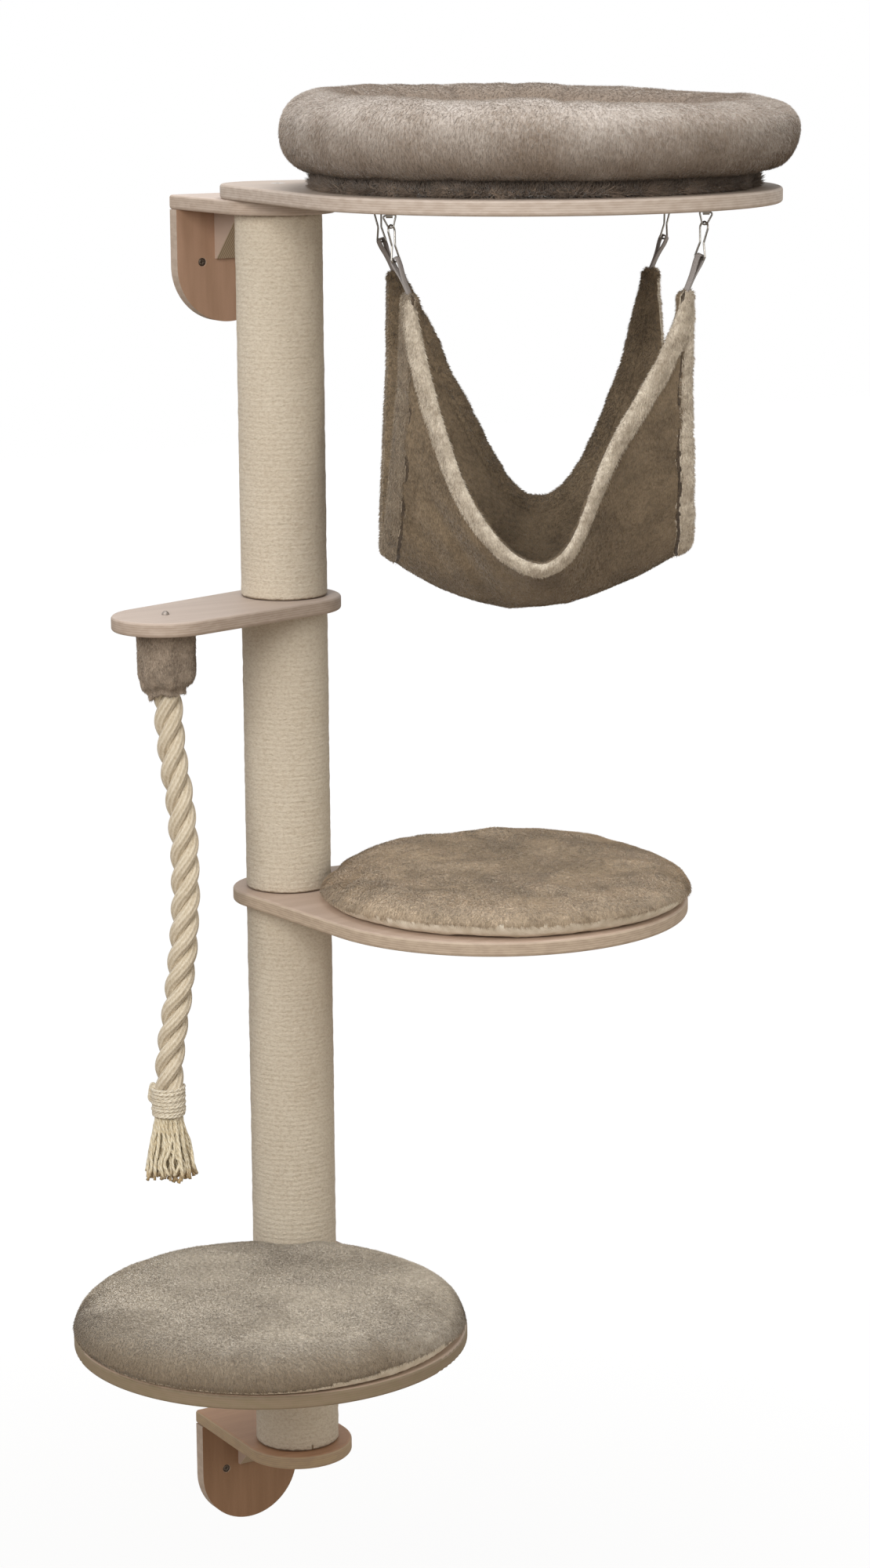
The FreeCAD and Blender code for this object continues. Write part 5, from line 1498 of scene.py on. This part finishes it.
@dataclass
class Hammock:
    """Plush hammock: a pouch of cloth with wide folded hems, hung by webbing from four hooks."""

    origin: Vector
    turn: float = math.radians(-27.5)
    side: float = 0.169
    depth: float = 0.185
    corner: float = -0.097
    deepest: float = 0.336
    blend: float = 0.79
    belly: float = 0.074
    thick: float = 0.0055
    hook_foot_place: tuple[float, float, float] = (0.184606, 0.185, -0.058915)
    bands: tuple[float, float] = (0.028, 0.029)
    band_thick: float = 0.0125
    fur: Fur = Fur("hammock_plush", (0.32, 0.245, 0.16), (0.115, 0.082, 0.048), patch=0.05)
    count: int = 120
    front: tuple[tuple[float, float], ...] = (
        (-0.169, -0.097), (-0.1655, -0.125), (-0.159, -0.160), (-0.1435, -0.217),
        (-0.126, -0.275), (-0.106, -0.333), (-0.080, -0.380), (-0.050, -0.416),
        (-0.024, -0.432), (0.0, -0.434), (0.022, -0.418), (0.039, -0.388), (0.056, -0.342),
        (0.078, -0.287), (0.113, -0.225), (0.1425, -0.173), (0.163, -0.132), (0.169, -0.097),
    )
    rear: tuple[tuple[float, float], ...] = (
        (-0.169, -0.097), (-0.125, -0.168), (-0.101, -0.226), (-0.076, -0.273), (-0.0515, -0.324),
        (-0.027, -0.368), (-0.002, -0.393), (0.023, -0.398), (0.048, -0.388), (0.073, -0.359),
        (0.098, -0.310), (0.123, -0.247), (0.148, -0.168), (0.169, -0.097),
    )
    edge: tuple[tuple[float, float], ...] = (
        (-0.185, -0.097), (-0.165, -0.160), (-0.140, -0.230), (-0.108, -0.310), (-0.070, -0.385),
        (-0.032, -0.425), (0.0, -0.436), (0.032, -0.425), (0.070, -0.385), (0.108, -0.310),
        (0.140, -0.230), (0.165, -0.160), (0.185, -0.097),
    )

    def __post_init__(self) -> None:
        """Smooths the three outlines."""
        self.lines = {}
        for name in ("front", "rear", "edge"):
            knots = [(x, 0.0, z) for x, z in getattr(self, name)]
            self.lines[name] = [(spot.x, spot.z) for spot in smooth_line(knots, 8)]

    def place(self, spot: Vector) -> Vector:
        """A point of the hammock's own frame, under the top shelf, in the object's frame."""
        cosine, sine = math.cos(self.turn), math.sin(self.turn)
        x, y = cosine * spot.x - sine * spot.y, sine * spot.x + cosine * spot.y
        return self.origin + Vector((x, y, spot.z))

    def height(self, name: str, place: float) -> float:
        """Height of an outline at a place along it."""
        outline = self.lines[name]
        place = max(outline[0][0], min(outline[-1][0], place))
        for (x0, z0), (x1, z1) in zip(outline, outline[1:]):
            if place <= x1:
                return z0 + (z1 - z0) * (place - x0) / max(x1 - x0, 1e-9)
        return outline[-1][1]

    def spot(self, u: float, v: float) -> Vector:
        """A point of the cloth in its own frame; u and v run from -1 to 1."""
        x_flat, y_flat = u * self.side, v * self.depth
        weight = (v + 1) / 2
        across = self.corner - (1 - weight) * self.height("front", x_flat)
        across -= weight * self.height("rear", x_flat)
        along = self.corner - self.height("edge", y_flat)
        drop = across + along - self.blend * across * along / self.deepest
        fullness = 2.3 if u < 0 else 1.65
        belly = self.belly * (1.0 - abs(u) ** fullness) - (1.0 - self.blend) * across
        drop += belly * (1.0 - v * v) ** 2
        wide = self.side + 0.025 * min(1.0, along / self.deepest)
        bow = 0.004 * min(1.0, across / self.deepest)
        return Vector((u * wide, v * (self.depth - bow), self.corner - drop))

    def build(self) -> None:
        """Builds the cloth, its hems and the webbing loops."""
        cloth = self.cloth()
        hems = self.hems()
        straps = [self.strap(name, s, r) for name, s, r in self.corners()]
        solid = cloth.modifiers.new("thickness", "SOLIDIFY")
        solid.thickness = self.thick
        solid.offset = 0.0
        for index, count in enumerate((26000, 30000, 14000)):
            fleece = Pile(count, 0.0038, 0.0005, stand=0.9, wander=2.0, swirl=60.0, seed=17)
            fleece.cover(hems, Body.HAMMOCK, Slot.HEM_FUR, index, index)
        for half in range(2):
            nap = Pile(46000, 0.0042, 0.0004, wander=1.0, swirl=14.0, seed=13 + half)
            nap.cover(cloth, Body.HAMMOCK, Slot.HAMMOCK_FUR, half)
        hooks = [name + "_hook" for name, _, _ in self.corners()]

    def corners(self) -> list[tuple[str, int, int]]:
        """Names and signs of the four corners."""
        return [("front_left", -1, -1), ("front_right", 1, -1), ("rear_right", 1, 1),
                ("rear_left", -1, 1)]

    @staticmethod
    def spread(step: float, tight: float) -> float:
        """Places from -1 to 1 that lie closer towards both ends."""
        return math.sin(math.pi / 2 * step * tight) / math.sin(math.pi / 2 * tight)

    def relief(self, spot: Vector, u: float, v: float) -> float:
        """How far the cloth lies below its even shape: soft folds towards the corners."""
        inside = (1 - abs(u) ** 4) * (1 - abs(v) ** 4)
        flat = Vector((spot.x + spot.y, (spot.x - spot.y) * 0.6, spot.z * 0.2))
        crease = folds(flat, 0.15, 1.0) ** 3
        return inside * (0.0025 * crease - 0.003 * rough(spot, 0.06, 2.0))

    @staticmethod
    def drape(spot: Vector) -> float:
        """How far the front panel stands out in the long folds from its lower left corner."""
        if spot.y > 0.0:
            return 0.0
        aside = 0.774 * spot.x + 0.633 * spot.z + 0.326
        down = 0.633 * spot.x - 0.774 * spot.z - 0.262
        window = math.exp(-((aside / 0.045) ** 2) - ((down / 0.075) ** 2))
        return 0.0075 * math.cos(math.tau * (aside + 0.12 * down) / 0.034) * window

    def cloth(self) -> bpy.types.Object:
        """The sheet itself, with soft folds."""
        rows = []
        for i in range(self.count + 1):
            v = self.spread(2 * i / self.count - 1, 0.96) * 0.985
            row = []
            for j in range(self.count + 1):
                u = self.spread(2 * j / self.count - 1, 0.96) * 0.985
                spot = self.spot(u, v)
                spot.z -= self.relief(spot, u, v)
                spot.y -= self.drape(spot) * (1.0 - v**6)
                row.append(self.place(spot))
            rows.append(row)
        mesh = surface("hammock_cloth_plush", rows, wrap_columns=False, caps=False)
        piece = new_piece("hammock_cloth_plush", mesh, Body.HAMMOCK)
        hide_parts("hammock_cloth")
        dress(piece, self.fur.material())
        return piece

    def hems(self) -> bpy.types.Object:
        """Folded hems on the four edges, joined into one rounded tip at each corner."""
        meshes = [self.hem(edge) for edge in range(4)]
        mesh = join("hammock_hem_plush", meshes)
        piece = new_piece("hammock_hem_plush", mesh, Body.HAMMOCK)
        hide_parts("hammock_hem")
        pale = Fur("hem_plush", (0.90, 0.83, 0.71), (0.38, 0.31, 0.23), patch=0.02,
                   streak=(1.0, 1.0, 0.5), depth=2.4)
        # Painted shade: a darker copy of the hem fleece for the left side hem.
        wear_and_shade = Fur("side_hem_plush", (0.44, 0.365, 0.275), (0.20, 0.155, 0.11), patch=0.02,
                   streak=(1.0, 1.0, 0.5), depth=2.4)
        # Painted shadow: a near-black band for the shade in the groove beside the side hems.
        groove_shadow = Fur("hem_seam", (0.10, 0.07, 0.045), (0.035, 0.025, 0.016), patch=0.02)
        dress(piece, pale.material(), self.fur.material(), wear_and_shade.material(), groove_shadow.material())
        return piece

    def on_edge(self, edge: int, t: float, inward: float) -> Vector:
        """A point beside an edge: t along it from -1 to 1, inward by a share of the width."""
        u, v = ((t, inward - 1), (t, 1 - inward), (inward - 1, t), (1 - inward, t))[edge]
        return self.spot(u, v)

    def hem(self, edge: int) -> bpy.types.Mesh:
        """One hem: a flat padded band that follows the cloth beside its edge."""
        rows = []
        steps, sides = 150, 32
        for step in range(steps + 1):
            t = self.spread(2 * step / steps - 1, 0.97)
            rim = self.on_edge(edge, t, 0.0)
            near = self.on_edge(edge, t, 0.10)
            ahead = self.on_edge(edge, min(t + 0.004, 1.0), 0.0)
            behind = self.on_edge(edge, max(t - 0.004, -1.0), 0.0)
            along = (ahead - behind).normalized()
            inward = near - rim
            inward = (inward - along * inward.dot(along)).normalized()
            out = along.cross(inward)
            tip = abs(t)
            close = max(0.0, (tip - 0.80) / 0.20)
            wide = self.bands[edge // 2] / 2 * (1.0 + 0.04 * math.sin(step * 0.55 + edge))
            wide += (0.0120 - wide) * close
            thick = self.band_thick / 2 * (1.0 + 0.15 * close)
            end = min(step, steps - step)
            round_off = math.sin(math.pi / 2 * min(1.0, (end + 0.6) / 5.0))
            middle = rim + inward * (wide * (0.72 - 0.5 * close))
            ring = []
            for angle in full_turn(sides):
                a = squarish(math.cos(angle), 0.75)
                b = squarish(math.sin(angle), 0.85)
                seam = 1.0 - 0.28 * math.exp(-((a - 0.45) / 0.12) ** 2)
                spot = middle + inward * (a * wide * round_off) + out * (b * thick * seam * round_off)
                ruffle = 0.0011 * rough(spot, 0.012, edge * 3.0) + 0.0008 * rough(spot, 0.03, edge)
                spot += out * (ruffle * round_off) + inward * (ruffle * round_off)
                ring.append(self.place(spot))
            rows.append(ring)
        mesh = surface("hem", rows)
        inner = (1, -1, -1, 1)[edge]
        for number, polygon in enumerate(mesh.polygons):
            turn = math.tau * (number % sides + 0.5) / sides
            wave = 0.16 * rough(polygon.center, 0.010, edge * 2.0)
            cosine, sine = math.cos(turn), math.sin(turn) * inner
            # The left side hem takes the darker copy, painted shade.
            polygon.material_index = 2 if edge == 2 else 0
            if sine > 0.45 or (edge > 0 and cosine > 0.0 and sine > -0.25):
                polygon.material_index = 1
            # On the side hems, a wavy band takes the painted groove shadow.
            elif edge > 1 and sine < 0.0 and 0.48 < cosine + wave < 0.90:
                polygon.material_index = 3
        return mesh

    def strap(self, name: str, side: int, rear: int) -> bpy.types.Object:
        """Webbing that goes round a hook's foot and into a corner."""
        node = name + "_webbing"
        top = self.hook_foot(side, rear)
        corner = self.place(Vector((side * self.side, rear * self.depth, self.corner)))
        up = (top - corner).normalized()
        way = self.turn + side * rear * math.radians(50.0)
        width = heading(way)
        width = (width - up * width.dot(up)).normalized()
        across = up.cross(width)
        eye = 0.0048
        leg = ((0.047, 0.16), (0.030, 0.18), (0.018, 0.42), (0.006, 0.88))
        line = [top - up * down + across * (eye * share) for down, share in leg]
        for step in range(1, 8):
            angle = math.pi * step / 8
            line.append(top + up * (math.sin(angle) * eye) + across * (math.cos(angle) * eye))
        line += [top - up * down - across * (eye * share) for down, share in reversed(leg)]
        points = smooth_line(line, 3)
        rows = []
        for index, point in enumerate(points):
            before, after = points[max(index - 1, 0)], points[min(index + 1, len(points) - 1)]
            along = (after - before).normalized()
            out = width.cross(along)
            ring = []
            for a, b in ((-1, -1), (-0.4, -1), (0.4, -1), (1, -1), (1, 1), (0.4, 1), (-0.4, 1),
                         (-1, 1)):
                ring.append(point + width * (a * 0.0041) + out * (b * 0.0007))
            rows.append(ring)
        piece = new_piece(node + "_strap", surface(node, rows), Body.HAMMOCK)
        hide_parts(node)
        dress(piece, Webbing(node + "_tape").material())
        return piece

    def hook_foot(self, side: int, rear: int) -> Vector:
        """Middle of a hook's bottom bar."""
        across, along, high = self.hook_foot_place
        return self.place(Vector((side * across, rear * along, high)))


@dataclass
class Hardware:
    """Wire rings, snap hooks and screw plates."""

    corners: tuple[str, ...] = ("front_left", "front_right", "rear_right", "rear_left")

    def build(self) -> None:
        """Dresses the metal nodes."""
        wire = Metal("bright_wire", (0.36, 0.345, 0.32), 0.25).material()
        plate = Metal("screw_plate", (0.42, 0.41, 0.39), 0.3).material()
        for corner in self.corners:
            dress_node(corner + "_ring", wire)
            dress_node(corner + "_hook", wire)
            dress_node(corner + "_hanger_plate", plate)


# ------------------------------------------------------------------ studio


@dataclass
class Studio:
    """Pale floor and backdrop, soft light and the camera."""

    eye: Vector = Vector((-2.3339, -4.45943, 2.04927))
    yaw: float = math.radians(30.82)
    pitch: float = math.radians(11.97)
    roll: float = math.radians(-0.43)
    lens: float = 85.78
    floor: float = -0.42

    def build(self) -> None:
        """Builds the camera, the lights and the surroundings."""
        self.camera()
        self.world()
        self.pale_floor()
        self.lamp("key", (-3.4, -2.9, 3.3), 2.4, 146.0)
        self.lamp("fill", (3.2, -3.4, 2.2), 3.0, 42.0, (1.0, 0.93, 0.80))
        self.lamp("top", (0.0, -1.1, 4.6), 2.2, 70.0, (0.98, 0.98, 1.0))
        bpy.context.scene.view_settings.view_transform = "Standard"

    def camera(self) -> None:
        """Camera of the photograph's view."""
        forward = Vector((math.sin(self.yaw) * math.cos(self.pitch),
                          math.cos(self.yaw) * math.cos(self.pitch), -math.sin(self.pitch)))
        right = Vector((math.cos(self.yaw), -math.sin(self.yaw), 0.0))
        up = right.cross(forward)
        cosine, sine = math.cos(self.roll), math.sin(self.roll)
        right, up = right * cosine + up * sine, up * cosine - right * sine
        lens = bpy.data.cameras.new("camera")
        lens.lens = self.lens
        lens.sensor_width = 36.0
        holder = link("camera", lens)
        axes = Matrix((right, up, -forward)).transposed().to_4x4()
        holder.matrix_world = Matrix.Translation(self.eye) @ axes
        bpy.context.scene.camera = holder

    def lamp(self, name: str, place: Sequence[float], size: float, power: float,
             colour: Colour = (1.0, 0.965, 0.92)) -> None:
        """One soft square light that faces the tree."""
        light = bpy.data.lights.new(name, "AREA")
        light.size = size
        light.energy = power
        light.color = colour
        holder = link(name, light)
        holder.location = place
        aim = Vector((0.1, -0.4, 1.0)) - Vector(place)
        holder.rotation_euler = aim.to_track_quat("-Z", "Y").to_euler()

    def world(self) -> None:
        """White surroundings, dimmer as a light than to the eye."""
        world = bpy.data.worlds.new("studio")
        world.use_nodes = True
        tree = world.node_tree
        tree.nodes.clear()
        path = add_node(tree, "ShaderNodeLightPath").outputs
        seen = add_node(tree, "ShaderNodeMath", {"operation": "MAXIMUM"}, {
            0: path["Is Camera Ray"], 1: path["Is Glossy Ray"]})
        strength = add_node(tree, "ShaderNodeMapRange", {}, {
            "To Min": 0.42, "To Max": 1.0, "Value": seen.outputs[0]})
        sky = add_node(tree, "ShaderNodeBackground", {}, {
            "Color": WHITE, "Strength": strength.outputs[0]})
        add_node(tree, "ShaderNodeOutputWorld", {}, {"Surface": sky.outputs[0]})
        bpy.context.scene.world = world

    def pale_floor(self) -> None:
        """Large floor that fades to white away from the tree."""
        mesh = bpy.data.meshes.new("floor")
        wide = 14.0
        corners = [(x * wide, y * wide, self.floor) for x, y in ((-1, -1), (1, -1), (1, 1), (-1, 1))]
        mesh.from_pydata(corners, [], [(0, 1, 2, 3)])
        floor = link("floor", mesh)
        g = Graph("pale_floor")
        speck = g.cloud(g.coordinates(), 3.0, 2.0)
        shade = g.mix(speck, (0.42, 0.36, 0.30), (0.46, 0.40, 0.34))
        shader = g.add("ShaderNodeBsdfDiffuse", {}, {"Color": shade})
        glow = g.add("ShaderNodeEmission", {}, {"Color": WHITE, "Strength": 1.02})
        place = g.coordinates()
        distance = (g.part(place, "X") ** 2.0 + g.part(place, "Y") ** 2.0) ** 0.5
        fade = distance.between(0.5, 2.4) * 0.07 + 0.93
        lit = Value(g, g.add("ShaderNodeLightPath").outputs["Is Camera Ray"]) * fade
        both = g.add("ShaderNodeMixShader", {}, {0: lit, 1: shader.outputs[0], 2: glow.outputs[0]})
        g.add("ShaderNodeOutputMaterial", {}, {"Surface": both.outputs[0]})
        floor.data.materials.append(g.material)


def main() -> None:
    """Builds the whole tree."""
    logging.basicConfig(level=logging.INFO, format="%(name)s: %(message)s")
    Studio().build()
    Boards().build()
    Post().build()
    WallScrews().build()
    low_foot, mid_foot = top_of("low_shelf"), top_of("mid_shelf")
    # Painted shade towards each cushion's foot; on the low cushion also a painted darker zone at the
    # front-left rim, partly brushed pile and partly shade.
    low_fur = Fur("low_cushion_plush", (0.76, 0.70, 0.60), (0.28, 0.225, 0.16), patch=0.12,
                  foot=(low_foot + 0.012, low_foot + 0.044), foot_painted_shade=0.9,
                  brushed=BrushedAndShaded((-0.1715, -0.4069), 0.170, 0.250, 0.95, (-0.75, -0.66)))
    mid_fur = Fur("mid_cushion_plush", (0.70, 0.57, 0.42), (0.30, 0.23, 0.155), patch=0.045,
                  foot=(mid_foot + 0.004, mid_foot + 0.026), foot_painted_shade=0.6)
    ShelfCushion("low_cushion", "low_shelf", radius=0.2575, high=0.050, crown=0.003,
                 creases=0.001, waves=0.0025, seed=3.0, lifted=-72.0, lift=0.26, lift_wide=0.5,
                 finish=low_fur).build()
    ShelfCushion("mid_cushion", "mid_shelf", radius=0.250, high=0.037, crown=0.002,
                 creases=0.006, waves=0.004, seed=8.0, lifted=-112.0, lift=0.40, lift_wide=1.5,
                 finish=mid_fur, hump=0.011).build()
    RoundBed(on_board("top_shelf", BED_REACH, top_of("top_shelf"))).build()
    RopeToy(on_board("rope_board", ROPE_REACH, foot_of("rope_board"))).build()
    Hammock(on_board("top_shelf", BED_REACH, foot_of("top_shelf"))).build()
    Hardware().build()


if __name__ == "__main__":
    main()
